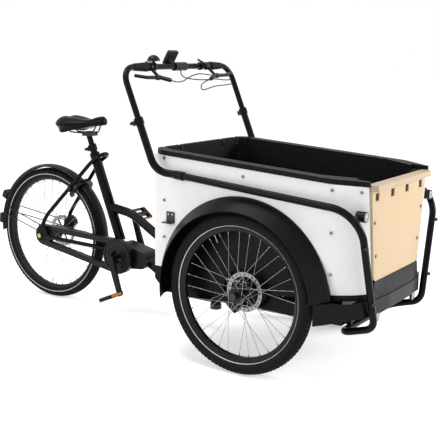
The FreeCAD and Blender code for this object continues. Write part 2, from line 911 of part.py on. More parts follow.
def stub_axles():
    """Stub axles with a flange on the chassis and a shoulder against the hub."""
    base = -s.chassis_half_width
    flange = base - s.axle_flange_thickness
    hub_end = -(s.half_track - s.front_disc_offset - s.front_sleeve_reach) + s.seat_gap
    tip = -(s.half_track + s.front_hub_reach + s.seat_gap + s.axle_nut_length)
    start = front_axle + ACROSS * base
    pin = rod(start, front_axle + ACROSS * tip, s.front_axle_radius)
    plate_disc = rod(start, front_axle + ACROSS * flange, s.axle_flange_radius)
    shoulder = rod(start, front_axle + ACROSS * hub_end, s.axle_shoulder_radius)
    formed("front_axles", *both(pin.fuse([plate_disc, shoulder]).removeSplitter()))


def front_calipers():
    """Calipers on brackets bolted to the stub axle flanges."""
    flange = -(s.chassis_half_width + s.axle_flange_thickness)
    face = flange - s.caliper_bracket
    angle = s.front_caliper_angle
    arm = block(s.axle_shoulder_radius, s.caliper_outer, face, flange, -s.caliper_half_length / 2,
                s.caliper_half_length / 2)
    arm = turned(arm, front_axle, angle)
    hole = rod(front_axle + Vector(0, flange, 0), front_axle + Vector(0, face, 0),
               s.axle_shoulder_radius + s.seat_gap)
    centre = front_axle - ACROSS * front_disc
    block_right = turned(caliper(-s.caliper_half_depth, face + front_disc), centre, angle)
    formed("front_brake_calipers", *both(arm.cut(hole)), *both(block_right))


stub_axles()
front_calipers()


# Chassis and battery

def chassis():
    """Box-tube frame with the king pin hanging from its rear beam."""
    low, high = s.side_member_low, s.side_member_high
    wide, inner = s.chassis_half_width, s.chassis_half_width - s.side_member_width
    top = high + s.beam_height
    side = block(-s.side_member_rear, s.side_member_front, -wide, -inner, low, high)
    hollow = block(-s.side_member_rear, s.side_member_front, -wide + s.chassis_wall, -inner - s.chassis_wall,
                   low + s.chassis_wall, high - s.chassis_wall)
    members = both(side.cut(hollow))
    half_beam = s.steering_beam_length / 2
    steering_beam = block(-s.steering_back - half_beam, -s.steering_back + half_beam, -wide, wide, high, top)
    half_hollow = half_beam - s.chassis_wall
    steering_hollow = block(-s.steering_back - half_hollow, -s.steering_back + half_hollow, -wide, wide,
                            high + s.chassis_wall, top - s.chassis_wall)
    front_rear = s.side_member_front - s.front_beam_length
    front_beam = block(front_rear, s.side_member_front, -wide, wide, high, top)
    front_hollow = block(front_rear + s.chassis_wall, s.side_member_front - s.chassis_wall, -wide, wide,
                         high + s.chassis_wall, top - s.chassis_wall)
    axle_low = s.front_wheel_radius - s.axle_beam_half
    axle_high = s.front_wheel_radius + s.axle_beam_half
    axle_beam = block(-s.axle_beam_half, s.axle_beam_half, -wide, wide, axle_low, axle_high)
    axle_hollow = block(-s.axle_beam_half + s.chassis_wall, s.axle_beam_half - s.chassis_wall, -inner, inner,
                        axle_low + s.chassis_wall, axle_high - s.chassis_wall)
    axle_web = block(-s.axle_web_half, s.axle_web_half, -wide, -wide + s.chassis_wall, high, top)
    tray_low = low + s.tray_height
    tray = block(s.tray_rear, s.tray_front, -inner, inner, tray_low, tray_low + s.tray_thickness)
    pin_low = s.head_low - s.king_nut_height - s.seat_gap
    pin = rod(Vector(-s.steering_back, 0, high), Vector(-s.steering_back, 0, pin_low), s.king_pin_radius)
    hanger = block(s.rail_foot - s.hanger_half_length, s.rail_foot + s.hanger_half_length,
                   -s.hanger_offset - s.hanger_width, -s.hanger_offset, s.rail_foot_height, high)
    nose = block(front_rear, s.skirt_nose - s.skirt_wall, -s.nose_bracket_offset - s.nose_bracket_width,
                 -s.nose_bracket_offset, high, high + s.nose_bracket_height)
    beams = [steering_beam.cut(steering_hollow), front_beam.cut(front_hollow), axle_beam.cut(axle_hollow)]
    pairs = both(hanger) + both(nose) + both(axle_web)
    solid = members[0].fuse([members[1], tray, pin] + beams + pairs)
    foot = rod(Vector(s.rail_foot, -s.rail_low_half_width, s.rail_foot_height),
               Vector(s.rail_foot, s.rail_low_half_width, s.rail_foot_height), s.rail_radius)
    formed("chassis_frame", solid.cut(foot).removeSplitter())


def battery():
    pack = document.addObject("Part::Box", "battery_box")
    bind(pack, "Length", "battery_length")
    bind(pack, "Width", "2 * battery_half_width")
    bind(pack, "Height", "battery_height")
    place(pack, " + battery_rear", "-battery_half_width", "side_member_low + tray_height + tray_thickness")
    rounded = document.addObject("Part::Fillet", "battery")
    rounded.Base = pack
    upright = [index for index, edge in enumerate(Part.makeBox(1, 2, 3).Edges, start=1)
               if abs(edge.tangentAt(edge.FirstParameter).z) > 0.9]
    rounded.Edges = [(index, s.battery_corner, s.battery_corner) for index in upright]
    keep(rounded, "battery")


chassis()
battery()

# Cargo tub

tub_low = s.side_member_high + s.beam_height
rim_slope = (s.rim_rear_height - s.rim_front_height) / (s.lip_rear + s.lip_front)
far_up = 2 * s.rim_rear_height


def rim_level(x):
    """Height of the tub's rim at a place from the front axle."""
    return s.rim_rear_height - rim_slope * (x + s.lip_rear)


def above_rim(drop):
    """Everything above the sloping rim, lowered by a drop."""
    rear, front = -2 * s.lip_rear, 2 * s.lip_front
    corners = [Vector(rear, -far_up, rim_level(rear) - drop), Vector(front, -far_up, rim_level(front) - drop),
               Vector(front, -far_up, far_up), Vector(rear, -far_up, far_up)]
    return plate(corners, [0, 0, 0, 0], Vector(0, 2 * far_up, 0))


def tub_prism(inset, z_low):
    right = [Vector(s.tub_front - inset, -s.tub_front_half_width + inset, z_low),
             Vector(s.tub_taper_start, -s.tub_half_width + inset, z_low),
             Vector(-s.tub_rear + inset, -s.tub_half_width + inset, z_low)]
    radii = [s.tub_front_corner - inset, s.tub_front_corner, s.tub_rear_corner - inset]
    return plate(symmetric(right), radii + radii[::-1], Vector(0, 0, far_up - z_low))


def cargo_tub():
    """Open moulded tub with a flanged rim that covers the panels' upper edges."""
    right = [Vector(s.lip_front, -s.lip_front_half_width, tub_low),
             Vector(s.lip_taper_start, -s.lip_half_width, tub_low),
             Vector(-s.lip_rear, -s.lip_half_width, tub_low)]
    radii = [0, s.lip_corner, s.lip_corner]
    lip = plate(symmetric(right), radii + radii[::-1], Vector(0, 0, far_up - tub_low))
    lip = lip.cut(above_rim(0)).common(above_rim(s.lip_thickness))
    walls = tub_prism(0, tub_low).cut(above_rim(s.lip_thickness / 2))
    solid = walls.fuse(lip).cut(tub_prism(s.tub_wall, tub_low + s.tub_wall))
    front_gap = block(s.tub_front - s.shelf_depth, 2 * s.lip_front, -s.shelf_half_width - s.fit_gap,
                      s.shelf_half_width + s.fit_gap, s.board_high, far_up)
    solid = solid.cut(front_gap)
    board_gap = block(s.tub_front, 2 * s.lip_front, -s.board_top_half_width - s.fit_gap,
                      s.board_top_half_width + s.fit_gap, tub_low, far_up)
    solid = solid.cut(board_gap)
    for across in (s.notch_near, s.notch_far):
        cut = block(-2 * s.lip_rear, -s.tub_rear + 2 * s.tub_wall, across - s.notch_half_width,
                    across + s.notch_half_width, s.rim_rear_height - s.notch_depth, far_up)
        solid = solid.cut(both(cut))
    formed("cargo_tub", solid.removeSplitter())


cargo_tub()


# Side panels

def panel_bend(z, curve_start, front_half_width):
    """Plan of the right panel's curved front at one height, curving in from the straight part."""
    wide, thick = s.panel_half_width, s.panel_thickness
    inward = wide - front_half_width
    along = s.panel_front - curve_start
    radius = (along ** 2 + inward ** 2) / (2 * inward)
    centre = Vector(curve_start, -wide + radius, z)
    sweep = math.degrees(math.asin(along / radius))

    def on_arc(arc_radius, share):
        return centre + Rotation(UP, sweep * share).multVec(Vector(0, -arc_radius, 0))

    inner = radius - thick
    return Part.Wire([
        Part.Arc(on_arc(radius, 0), on_arc(radius, 0.5), on_arc(radius, 1)).toShape(),
        Part.LineSegment(on_arc(radius, 1), on_arc(inner, 1)).toShape(),
        Part.Arc(on_arc(inner, 1), on_arc(inner, 0.5), on_arc(inner, 0)).toShape(),
        Part.LineSegment(on_arc(inner, 0), on_arc(radius, 0)).toShape(),
    ])


arch_centre = Vector(-s.arch_back, 0, s.arch_height)


def panel_blank():
    """The right panel before its screw holes: a flat side and a curved front."""
    low, high = s.panel_low, s.rim_rear_height
    corners = [Vector(-s.panel_rear, -s.panel_half_width, low),
               Vector(s.panel_low_curve_start, -s.panel_half_width, low),
               Vector(s.panel_top_curve_start, -s.panel_half_width, high),
               Vector(-s.panel_rear, -s.panel_half_width, high)]
    flat = plate(corners, [0, 0, 0, 0], Vector(0, s.panel_thickness, 0))
    bends = [panel_bend(low, s.panel_low_curve_start, s.panel_low_front_half_width),
             panel_bend(high, s.panel_top_curve_start, s.panel_top_front_half_width)]
    wheel_hole = Part.makeCylinder(s.arch_cut_radius, s.lip_half_width, arch_centre, -ACROSS)
    whole = flat.fuse(Part.makeLoft(bends, True, True))
    return whole.cut([above_rim(s.lip_thickness + s.seat_gap), wheel_hole])


def panel_spot(panel, x, z):
    """A point on the panel's outer face, with the direction that leaves it."""
    def face_y(at):
        ray = Part.makeLine(Vector(at, -2 * s.lip_half_width, z), Vector(at, 0, z))
        return panel.common(ray).BoundBox.YMin

    step = s.screw_radius
    run = Vector(2 * step, face_y(x + step) - face_y(x - step), 0)
    return Vector(x, face_y(x), z), run.cross(UP).normalize()


blank_panel = panel_blank()
screw_spots = [(x, rim_level(x) - drop) for x, drop in (
    (-s.screw_rear, s.screw_rear_drop), (-s.arch_back, s.screw_arch_drop),
    (s.screw_front, s.screw_front_drop), (s.screw_nose, s.screw_nose_drop))]
screw_spots += [(-s.screw_rear, z) for z in (s.screw_rear_middle, s.screw_rear_low)]
screw_spots += [(s.screw_front, z) for z in (s.screw_front_middle, s.screw_front_low)]
panel_screws = [panel_spot(blank_panel, x, z) for x, z in screw_spots]


def drilled_panel():
    bore = s.screw_radius + s.seat_gap
    holes = [rod(spot + out * s.panel_thickness, spot - out * 2 * s.panel_thickness, bore)
             for spot, out in panel_screws]
    return blank_panel.cut(holes)


right_panel = drilled_panel()
formed("side_panels", *both(right_panel))


# Wheel arches

def wheel_arches():
    """Moulded arches: a liner behind the wheel and a flared lip over it, with a tail behind."""
    wide, wall = s.panel_half_width, s.arch_wall
    outer = s.arch_radius
    sleeve = s.arch_cut_radius - s.seat_gap
    section = [
        (outer, -wide - s.seat_gap), (outer, -wide - s.arch_flange), (outer - wall, -wide - s.arch_shoulder),
        (s.arch_lip_radius, -s.arch_lip_reach), (s.arch_lip_radius - wall, -s.arch_lip_reach),
        (outer - s.arch_shoulder - wall, -wide - s.arch_shoulder), (sleeve - wall, -wide),
        (sleeve - wall, -s.arch_liner - wall), (s.arch_liner_hole, -s.arch_liner - wall),
        (s.arch_liner_hole, -s.arch_liner), (sleeve, -s.arch_liner), (sleeve, -wide - s.seat_gap),
    ]
    arch = swept_round(section, arch_centre, s.arch_front_angle, s.arch_sweep)
    high = s.panel_low - s.seat_gap
    tail_points = [Vector(-s.arch_tail_rear, -wide, high), Vector(-s.arch_tail_front, -wide, high),
                   Vector(-s.arch_tail_front, -wide, s.arch_tail_low),
                   Vector(-s.arch_tail_rear + s.arch_tail_chamfer, -wide, s.arch_tail_low),
                   Vector(-s.arch_tail_rear, -wide, s.arch_tail_low + s.arch_tail_chamfer)]
    corner = s.arch_tail_corner
    tail = plate(tail_points, [0, 0, 0, corner, corner], Vector(0, s.arch_tail_depth, 0))
    keep_out = Part.makeCylinder(sleeve - wall, 2 * wide, arch_centre, -ACROSS)
    formed("wheel_arches", *both(arch.fuse(tail.cut(keep_out)).removeSplitter()))


wheel_arches()


# Front skirt, board and shelf

def skirt_prism(inset, high):
    """The skirt's plan, drawn in by an inset, from its lowest edge up to a height."""
    low = s.skirt_rear_low
    right = [Vector(s.skirt_nose - inset, -s.skirt_nose_half_width, low),
             Vector(s.skirt_front - inset, -s.skirt_front_half_width + inset / 4, low),
             Vector(s.skirt_turn - inset, -s.skirt_turn_half_width + inset / 2, low),
             Vector(s.skirt_shoulder - inset / 2, -s.skirt_shoulder_half_width + inset, low),
             Vector(s.skirt_rear, -s.skirt_rear_half_width + inset, low)]
    radii = [s.skirt_nose_round, s.skirt_corner, s.skirt_corner, s.skirt_corner / 2, 0]
    return plate(symmetric(right), radii + radii[::-1], Vector(0, 0, high - low))


def apron_solid(inset):
    """The sloping apron from the board's lower edge down to the skirt's nose, drawn back by an inset."""
    rear = s.skirt_front - s.apron_depth - inset
    back = s.apron_setback + inset
    high_front = s.board_back + s.board_thickness + s.apron_lip - inset
    nose = s.skirt_nose_half_width
    low = [Vector(s.skirt_nose - back, -nose, s.skirt_high),
           Vector(s.skirt_front - back, -s.skirt_front_half_width + s.apron_setback, s.skirt_high),
           Vector(rear, -s.skirt_front_half_width + s.apron_setback, s.skirt_high)]
    high = [Vector(high_front, -nose, s.apron_high), Vector(high_front, -s.apron_half_width, s.apron_high),
            Vector(rear, -s.apron_half_width, s.apron_high)]
    wires = [Part.makePolygon(symmetric(points) + points[:1]) for points in (low, high)]
    return Part.makeLoft(wires, True, True)


def panel_band():
    """A strip that closes the gap between a panel's curved lower edge and the skirt."""
    plan = Part.Face(panel_bend(s.skirt_high, s.panel_low_curve_start, s.panel_low_front_half_width))
    strip = plan.extrude(UP * (s.panel_low - s.seat_gap - s.skirt_high))
    arch_room = Part.makeCylinder(s.arch_radius + s.fit_gap, s.skirt_rear_half_width, arch_centre, -ACROSS)
    beam_room = block(0, s.side_member_front + s.fit_gap, -s.chassis_half_width - s.fit_gap, 0,
                      s.skirt_high, s.side_member_high + s.beam_height + s.fit_gap)
    return strip.cut([arch_room, beam_room])


def front_skirt():
    """Nose skirt, open below and behind, with an apron under the board and strips under the panels."""
    cap_low = s.skirt_high - s.skirt_cap
    shell = skirt_prism(0, s.skirt_high).cut(skirt_prism(s.skirt_wall, cap_low))
    lid_rear = s.side_member_front + s.front_beam_length
    lid_gap = block(0, lid_rear, -s.panel_half_width, s.panel_half_width, cap_low, s.skirt_high)
    shell = shell.cut(lid_gap)
    apron = apron_solid(0).cut(apron_solid(s.skirt_wall))
    shell = shell.fuse([apron] + both(panel_band()))
    slope = [Vector(s.skirt_rear, -far_up, s.skirt_rear_low),
             Vector(s.skirt_nose, -far_up, s.skirt_rear_low),
             Vector(s.skirt_nose, -far_up, s.skirt_front_low)]
    shell = shell.cut(plate(slope, [0, 0, 0], Vector(0, 2 * far_up, 0)))
    near = -s.nose_bracket_offset + s.fit_gap
    far = near - s.nose_bracket_width - 2 * s.fit_gap
    brackets = block(0, s.skirt_nose - s.skirt_wall, far, near, s.side_member_high - s.fit_gap, s.skirt_high)
    formed("front_skirt", shell.cut(both(brackets)).removeSplitter())


def front_board():
    """Plywood board with a row of slots, and a shelf on its upper edge."""
    body = document.addObject("PartDesign::Body", "board")
    face = new_sketch(body, "board_outline", "YZ_Plane")
    draw_polygon(face, [
        ("-board_top_half_width", "board_high"), ("board_top_half_width", "board_high"),
        ("board_low_half_width", "board_low"), ("-board_low_half_width", "board_low"),
    ])
    document.recompute()
    pad = body.newObject("PartDesign::Pad", "board_pad")
    pad.Profile = face
    bind(pad, "Length", "board_thickness")
    document.recompute()
    slots = new_sketch(body, "board_slots", "YZ_Plane")
    top = "board_high - board_slot_top"
    low = f"{top} - board_slot_height"
    for centre in ("-board_slot_far", "-board_slot_near", "board_slot_near", "board_slot_far"):
        left = f"{centre} - board_slot_width / 2"
        right = f"{centre} + board_slot_width / 2"
        draw_polygon(slots, [(left, low), (right, low), (right, top), (left, top)])
    document.recompute()
    pocket = body.newObject("PartDesign::Pocket", "board_slot_cut")
    pocket.Profile = slots
    pocket.Type = 1
    pocket.Reversed = True
    document.recompute()
    corners = []
    for index, edge in enumerate(pocket.Shape.Edges, start=1):
        through = abs(edge.tangentAt(edge.FirstParameter).x) > 0.9
        if through and abs(edge.CenterOfMass.z - s.board_low) < 1:
            corners.append(f"Edge{index}")
    rounding = body.newObject("PartDesign::Fillet", "board_rounding")
    rounding.Base = (pocket, corners)
    bind(rounding, "Radius", "board_corner")
    body.Tip = rounding
    place(body, " + board_back")
    document.recompute()
    rear = s.tub_front - s.tub_wall
    front = rear + s.shelf_depth
    right = [Vector(front, -s.shelf_half_width + s.shelf_chamfer, s.board_high),
             Vector(front - s.shelf_chamfer, -s.shelf_half_width, s.board_high),
             Vector(rear, -s.shelf_half_width, s.board_high)]
    shelf = document.addObject("Part::Feature", "shelf")
    shelf.Shape = plate(symmetric(right), [0] * 6, Vector(0, 0, s.shelf_thickness))
    place(shelf)
    boards = document.addObject("Part::Compound", "front_board")
    boards.Links = [body, shelf]
    keep(boards, "front_board")


front_skirt()
front_board()

# Bumper rail and handlebar stanchions

rail_right = [
    Vector(-s.rail_rear, -s.rail_half_width, s.rail_rear_height),
    Vector(s.rail_top_front, -s.rail_top_front_half_width, s.rail_top_front_height),
    Vector(s.rail_front, -s.rail_low_half_width, s.rail_low_height),
    Vector(s.rail_foot, -s.rail_low_half_width, s.rail_foot_height),
]
rail_bends = [s.rail_top_bend, s.rail_low_bend, s.rail_foot_bend]
rail_solid = tube(symmetric(rail_right), rail_bends + rail_bends[::-1], s.rail_radius)


def bumper_rail():
    inner = tube(symmetric(rail_right), rail_bends + rail_bends[::-1], s.rail_radius - s.rail_wall)
    formed("bumper_rail", rail_solid.cut(inner))


bumper_rail()

leg_up = Rotation(ACROSS, -s.bar_lean).multVec(UP)
bar_height = s.stanchion_corner_height + s.bar_rise


def on_leg(height):
    """A point on the right handlebar leg's axis at a height."""
    corner = Vector(-s.bar_back, -s.bar_half_width, bar_height)
    return corner - leg_up * ((bar_height - height) / leg_up.z)


def clamp(tube_radius):
    """A split collar with two ears behind it, and its lever, drawn with the tube along Z and its top at 0."""
    inner = tube_radius + s.fit_gap
    outer = inner + s.collar_wall
    low = -s.collar_length
    middle = low / 2
    half = s.lever_barrel_length / 2
    barrel_x = -(outer + s.lever_barrel_radius + s.lever_clearance)
    barrel = Vector(barrel_x, 0, 0)
    collar = ring(Vector(0, 0, low), ORIGIN, outer, inner)
    ears = []
    for side in (1, -1):
        ear_low = middle + (half + s.seat_gap if side > 0 else -half - s.seat_gap - s.lever_ear)
        ear = block(barrel_x - s.lever_barrel_radius, -inner, -s.lever_barrel_radius, s.lever_barrel_radius,
                    ear_low, ear_low + s.lever_ear)
        ears.append(ear.cut(rod(Vector(0, 0, low), ORIGIN, inner)))
    pin_low = barrel + Vector(0, 0, middle - half - s.seat_gap - s.lever_ear)
    pin_high = barrel + Vector(0, 0, middle + half + s.seat_gap + s.lever_ear)
    collar = collar.fuse(ears + [rod(pin_low, pin_high, s.lever_pin_radius)]).removeSplitter()
    eye_low = barrel + Vector(0, 0, middle - half)
    eye_high = barrel + Vector(0, 0, middle + half)
    arm_in = -outer - s.lever_clearance
    arm_out = arm_in - s.lever_thickness
    arm_rear = barrel_x - s.lever_web_half
    web = block(arm_rear, barrel_x + s.lever_web_half, arm_out, 0, middle - half, middle + half)
    arm = block(arm_rear, barrel_x + s.lever_reach, arm_out, arm_in, middle - half, middle + half)
    lever = rod(eye_low, eye_high, s.lever_barrel_radius).fuse([web, arm])
    lever = lever.cut(rod(eye_low, eye_high, s.lever_pin_radius + s.running_gap))
    return collar, lever.removeSplitter()


def set_on(shape, origin, up):
    """Puts a shape drawn along Z on an axis that leans back."""
    placed = shape.copy()
    placed.Placement = Placement(origin, Rotation(UP, up))
    return placed


bar_collar, bar_lever = clamp(s.stanchion_radius)
stanchion_top = on_leg(s.stanchion_corner_height + s.stanchion_rise)
rail_ahead = (rail_right[1] - rail_right[0]).normalize()
stanchion_points = [rail_right[0], rail_right[0] - rail_ahead * s.stanchion_start,
                    on_leg(s.stanchion_corner_height), stanchion_top]


def stanchions():
    """Lower handlebar tubes that rise from the rail's ends, with their clamps and joint collars."""
    bore = s.bar_radius + s.stanchion_gap
    pipe = tube(stanchion_points, [s.stanchion_start_bend, s.stanchion_bend], s.stanchion_radius, bore)
    start = rail_right[0]
    joint = ring(start, start + rail_ahead * s.joint_collar_length, s.stanchion_radius + s.joint_collar_wall,
                 s.rail_radius + s.fit_gap)
    formed("bar_stanchions", *both(pipe), *both(joint), *both(set_on(bar_collar, stanchion_top, leg_up)))
    right_lever = set_on(bar_lever, stanchion_top, leg_up)
    formed("bar_clamp_lever_right", right_lever)
    formed("bar_clamp_lever_left", mirrored(right_lever))


stanchions()

# Handlebar and its controls

bar_centre = Vector(-s.bar_back, 0, bar_height)


def tilted(shape):
    """Puts a shape drawn round the bar's axis at the brake levers' tilt."""
    placed = shape.copy()
    placed.Placement = Placement(bar_centre, Rotation(ACROSS, s.control_tilt))
    return placed


def upright(shape):
    """Puts a shape drawn round the bar's axis on the bar, unturned."""
    placed = shape.copy()
    placed.Placement = Placement(bar_centre, Rotation())
    return placed


bar_points = symmetric([on_leg(bar_height) - leg_up * s.bar_leg, on_leg(bar_height)])
bar_solid = tube(bar_points, [s.bar_bend] * 2, s.bar_radius)


def handlebar():
    formed("handlebar", bar_solid.cut(tube(bar_points, [s.bar_bend] * 2, s.bar_radius - s.bar_wall)))


def grips():
    """Rubber grips that taper outwards."""
    start = bar_centre - ACROSS * s.grip_inner
    end = bar_centre - ACROSS * s.grip_outer
    length = s.grip_outer - s.grip_inner
    body = Part.makeCone(s.grip_inner_radius, s.grip_outer_radius, length, start, -ACROSS)
    formed("grips", *both(body.cut(rod(start, end, s.bar_radius + s.fit_gap))))


def bar_clamp_ring(inner_y, outer_y, wall):
    return rod(Vector(0, inner_y, 0), Vector(0, outer_y, 0), s.bar_radius + s.fit_gap + wall)


def clear_bar(shape):
    bore = s.bar_radius + s.fit_gap
    return shape.cut(rod(Vector(0, -s.bar_half_width, 0), Vector(0, s.bar_half_width, 0), bore))


def brake_perch():
    """Clamp, arm, slanting master cylinder and lever fork of the right brake."""
    thick = s.brake_half_thickness
    master_outer = Vector(s.master_outer_offset, -s.master_outer, 0)
    master_inner = Vector(s.master_inner_offset, -s.master_inner, 0)
    master = rod(master_outer, master_inner, s.master_radius)
    arm = block(s.bar_radius, s.master_outer_offset, -s.perch_outer + s.perch_arm_inset,
                -s.perch_inner - s.perch_arm_inset, -thick, thick)
    parts = [master, arm]
    reach = s.brake_eye_radius
    ear_in = s.master_radius / 2 - s.master_outer
    for low in (thick + s.seat_gap, -thick - s.seat_gap - s.brake_ear):
        parts.append(block(s.brake_offset - reach, s.brake_offset + reach, -s.brake_pivot - reach, ear_in,
                           low, low + s.brake_ear))
    pin = Vector(s.brake_offset, -s.brake_pivot, thick + s.seat_gap + s.brake_ear)
    parts.append(rod(Vector(pin.x, pin.y, -pin.z), pin, s.brake_pin_radius))
    ring_part = bar_clamp_ring(-s.perch_outer, -s.perch_inner, s.perch_wall)
    return clear_bar(ring_part.fuse(parts)).removeSplitter()


def brake_lever():
    """Blade of the right brake lever, bowed forwards and drawn in towards its tip."""
    offset, pivot, tip = s.brake_offset, s.brake_pivot, s.brake_tip
    low = -s.brake_half_thickness
    thickness = Vector(0, 0, 2 * s.brake_half_thickness)
    middle = (pivot + tip) / 2
    bow = (offset + s.brake_tip_offset) / 2 + s.brake_bow
    half, root = s.brake_tip_half_width, s.brake_root_half_width
    points = [Vector(offset - root, -pivot, low), Vector(offset + root, -pivot, low),
              Vector(bow + half, -middle, low), Vector(s.brake_tip_offset + half, -tip, low),
              Vector(s.brake_tip_offset - half, -tip, low), Vector(bow - half, -middle, low)]
    bend, corner = s.brake_bow_radius, s.brake_tip_corner
    blade = plate(points, [0, 0, bend, corner, corner, bend], thickness)
    centre = Vector(offset, -pivot, low)
    eye = rod(centre, centre + thickness, s.brake_eye_radius)
    bore = rod(centre, centre + thickness, s.brake_pin_radius + s.running_gap)
    return blade.fuse(eye).cut(bore).removeSplitter()


def bell():
    """Clamp, post and domed gong, with the striker lever apart."""
    offset = Vector(0, -s.bell_offset, 0)
    half = s.bell_half_width
    clamp_part = bar_clamp_ring(-s.bell_offset - half, -s.bell_offset + half, s.perch_wall)
    ball = (s.bell_radius ** 2 + s.bell_height ** 2) / (2 * s.bell_height)
    centre = offset + UP * (s.bell_base + s.bell_height - ball)
    below = block(-far_up, far_up, -far_up, far_up, -far_up, s.bell_base)
    dome = Part.makeSphere(ball, centre).cut(Part.makeSphere(ball - s.bell_wall, centre)).cut(below)
    post = rod(offset, offset + UP * (s.bell_base + s.bell_height - s.bell_wall / 2), s.bell_post_radius)
    body = clear_bar(clamp_part.fuse([dome, post])).removeSplitter()
    low = offset + UP * s.bell_lever_low
    high = low + UP * s.bell_lever_thickness
    wide = s.bell_lever_half_width
    eye = rod(low, high, s.bell_post_radius + wide)
    arm = block(-s.bell_lever_reach, 0, -s.bell_offset - wide, -s.bell_offset + wide, low.z, high.z)
    lever = eye.fuse(arm).cut(rod(low, high, s.bell_post_radius + s.running_gap))
    return body, lever.removeSplitter()


display_pivot = Vector(-s.display_pivot_back, -s.display_offset, s.display_pivot_height)


def display_mount():
    """Clamp with two ears that run back to the pin that the display tilts on."""
    lug = s.display_lug_half + s.seat_gap
    ear_out = lug + s.display_pivot_radius
    pivot, radius = display_pivot, s.display_pivot_radius
    clamp_part = bar_clamp_ring(-s.display_mount_half, s.display_mount_half, s.display_mount_wall)
    parts = []
    for near, far in ((lug, ear_out), (-ear_out, -lug)):
        near_end = pivot + ACROSS * near
        far_end = pivot + ACROSS * far
        parts.append(rod(near_end, far_end, radius))
        parts.append(block(pivot.x, 0, near_end.y, far_end.y, pivot.z - radius, pivot.z + radius))
    parts.append(rod(pivot - ACROSS * ear_out, pivot + ACROSS * ear_out, s.brake_pin_radius))
    return clear_bar(clamp_part.fuse(parts)).removeSplitter()


def display():
    """Display drawn round its own pivot, its head leaning forwards."""
    radius = s.display_pivot_radius
    face = -radius - s.display_face_gap
    body = block(face - s.display_thickness, face, -s.display_half_width, s.display_half_width, -radius,
                 s.display_height - radius)
    corners = [edge for edge in body.Edges if abs(edge.tangentAt(edge.FirstParameter).x) > 0.9]
    body = body.makeFillet(s.display_corner, corners)
    lug = s.display_lug_half
    barrel = rod(ACROSS * -lug, ACROSS * lug, radius)
    neck = block(face, 0, -lug, lug, -radius, radius)
    bore = rod(ACROSS * -lug, ACROSS * lug, s.brake_pin_radius + s.running_gap)
    placed = body.fuse([barrel, neck]).cut(bore).removeSplitter()
    placed.Placement = Placement(bar_centre + display_pivot, Rotation(ACROSS, s.display_tilt))
    return placed


def shifter():
    """Clamp and round pod of the thumb shifter, with its lever on top of the pod."""
    offset, half = s.shifter_offset, s.shifter_half_width
    centre = Vector(s.shifter_forward, offset, 0)
    pod_low = centre + UP * s.shifter_low
    pod_high = pod_low + UP * s.shifter_depth
    lever_low = pod_high + UP * s.seat_gap
    lever_high = lever_low + UP * s.shift_lever_thickness
    clamp_part = bar_clamp_ring(offset - half, offset + half, s.perch_wall)
    pod = rod(pod_low, pod_high, s.shifter_radius)
    pin = rod(pod_high, lever_high, s.brake_pin_radius)
    body = clear_bar(clamp_part.fuse([pod, pin])).removeSplitter()
    eye = rod(lever_low, lever_high, s.shift_lever_eye)
    back, side, wide = s.shift_lever_reach, s.shift_lever_side, s.shift_lever_width
    points = [lever_low + Vector(wide / 2, 0, 0), lever_low + Vector(0, wide / 2, 0),
              lever_low + Vector(-back, -side, 0), lever_low + Vector(wide / 2 - back, -side - wide, 0)]
    blade = plate(points, [0, 0, wide / 3, wide / 3], lever_high - lever_low)
    lever = eye.fuse(blade).cut(rod(lever_low, lever_high, s.brake_pin_radius + s.running_gap))
    return body, lever.removeSplitter()


def hose(points):
    """A hose whose bends are as large as its runs allow, and which ends on the handlebar's wall."""
    radii = []
    for before, corner, after in zip(points, points[1:], points[2:]):
        turn = math.pi - (before - corner).getAngle(after - corner)
        shorter = min((before - corner).Length, (after - corner).Length)
        radii.append(0.45 * shorter / math.tan(turn / 2))
    return max(tube(points, radii, s.hose_radius).cut(bar_solid).Solids, key=lambda solid: solid.Volume)


def into_left_leg(drop):
    """The middle of the left handlebar leg at a drop below the bar, after the point that leads to it."""
    leg = mirrored_point(on_leg(bar_height - drop))
    return [leg - ACROSS * s.hose_lead_in - UP * s.hose_sag, leg]


def mirrored_point(point):
    return Vector(point.x, -point.y, point.z)


def from_bar(x, y, z):
    """A point given from the middle of the bar."""
    return bar_centre + Vector(x, y, z)


def hose_start():
    """The first two points of the right brake hose, in line with its master cylinder."""
    inner = Vector(s.master_inner_offset, -s.master_inner, 0)
    outer = Vector(s.master_outer_offset, -s.master_outer, 0)
    along = (inner - outer).normalize()
    spin_to_bar = Rotation(ACROSS, s.control_tilt)
    return [bar_centre + spin_to_bar.multVec(inner + along * reach) for reach in (s.seat_gap, s.hose_outlet)]


def hoses():
    """Two brake hoses and the display's lead, their bends given from the bar, all into the left leg."""
    right_run = [from_bar(66, -110, -64), from_bar(60, -55, -63), from_bar(52, 10, -42),
                 from_bar(46, 80, -31), from_bar(40, 150, -36), from_bar(30, 260, -46)]
    left_run = [from_bar(62, 112, -70), from_bar(54, 98, -86), from_bar(46, 140, -100),
                from_bar(38, 220, -88)]
    lead_run = [from_bar(8, 20, -40), from_bar(22, 80, -58), from_bar(24, 160, -62), from_bar(24, 260, -58)]
    right = hose_start() + right_run + into_left_leg(s.right_hose_drop)
    left = [mirrored_point(point) for point in hose_start()] + left_run + into_left_leg(s.left_hose_drop)
    mount = s.bar_radius + s.fit_gap + s.display_mount_wall + s.seat_gap
    under_mount = from_bar(0, lead_run[0].y / 2, -mount)
    lead = [under_mount, under_mount - UP * s.hose_outlet] + lead_run + into_left_leg(s.display_lead_drop)
    formed("control_hoses", hose(right), hose(left), hose(lead))


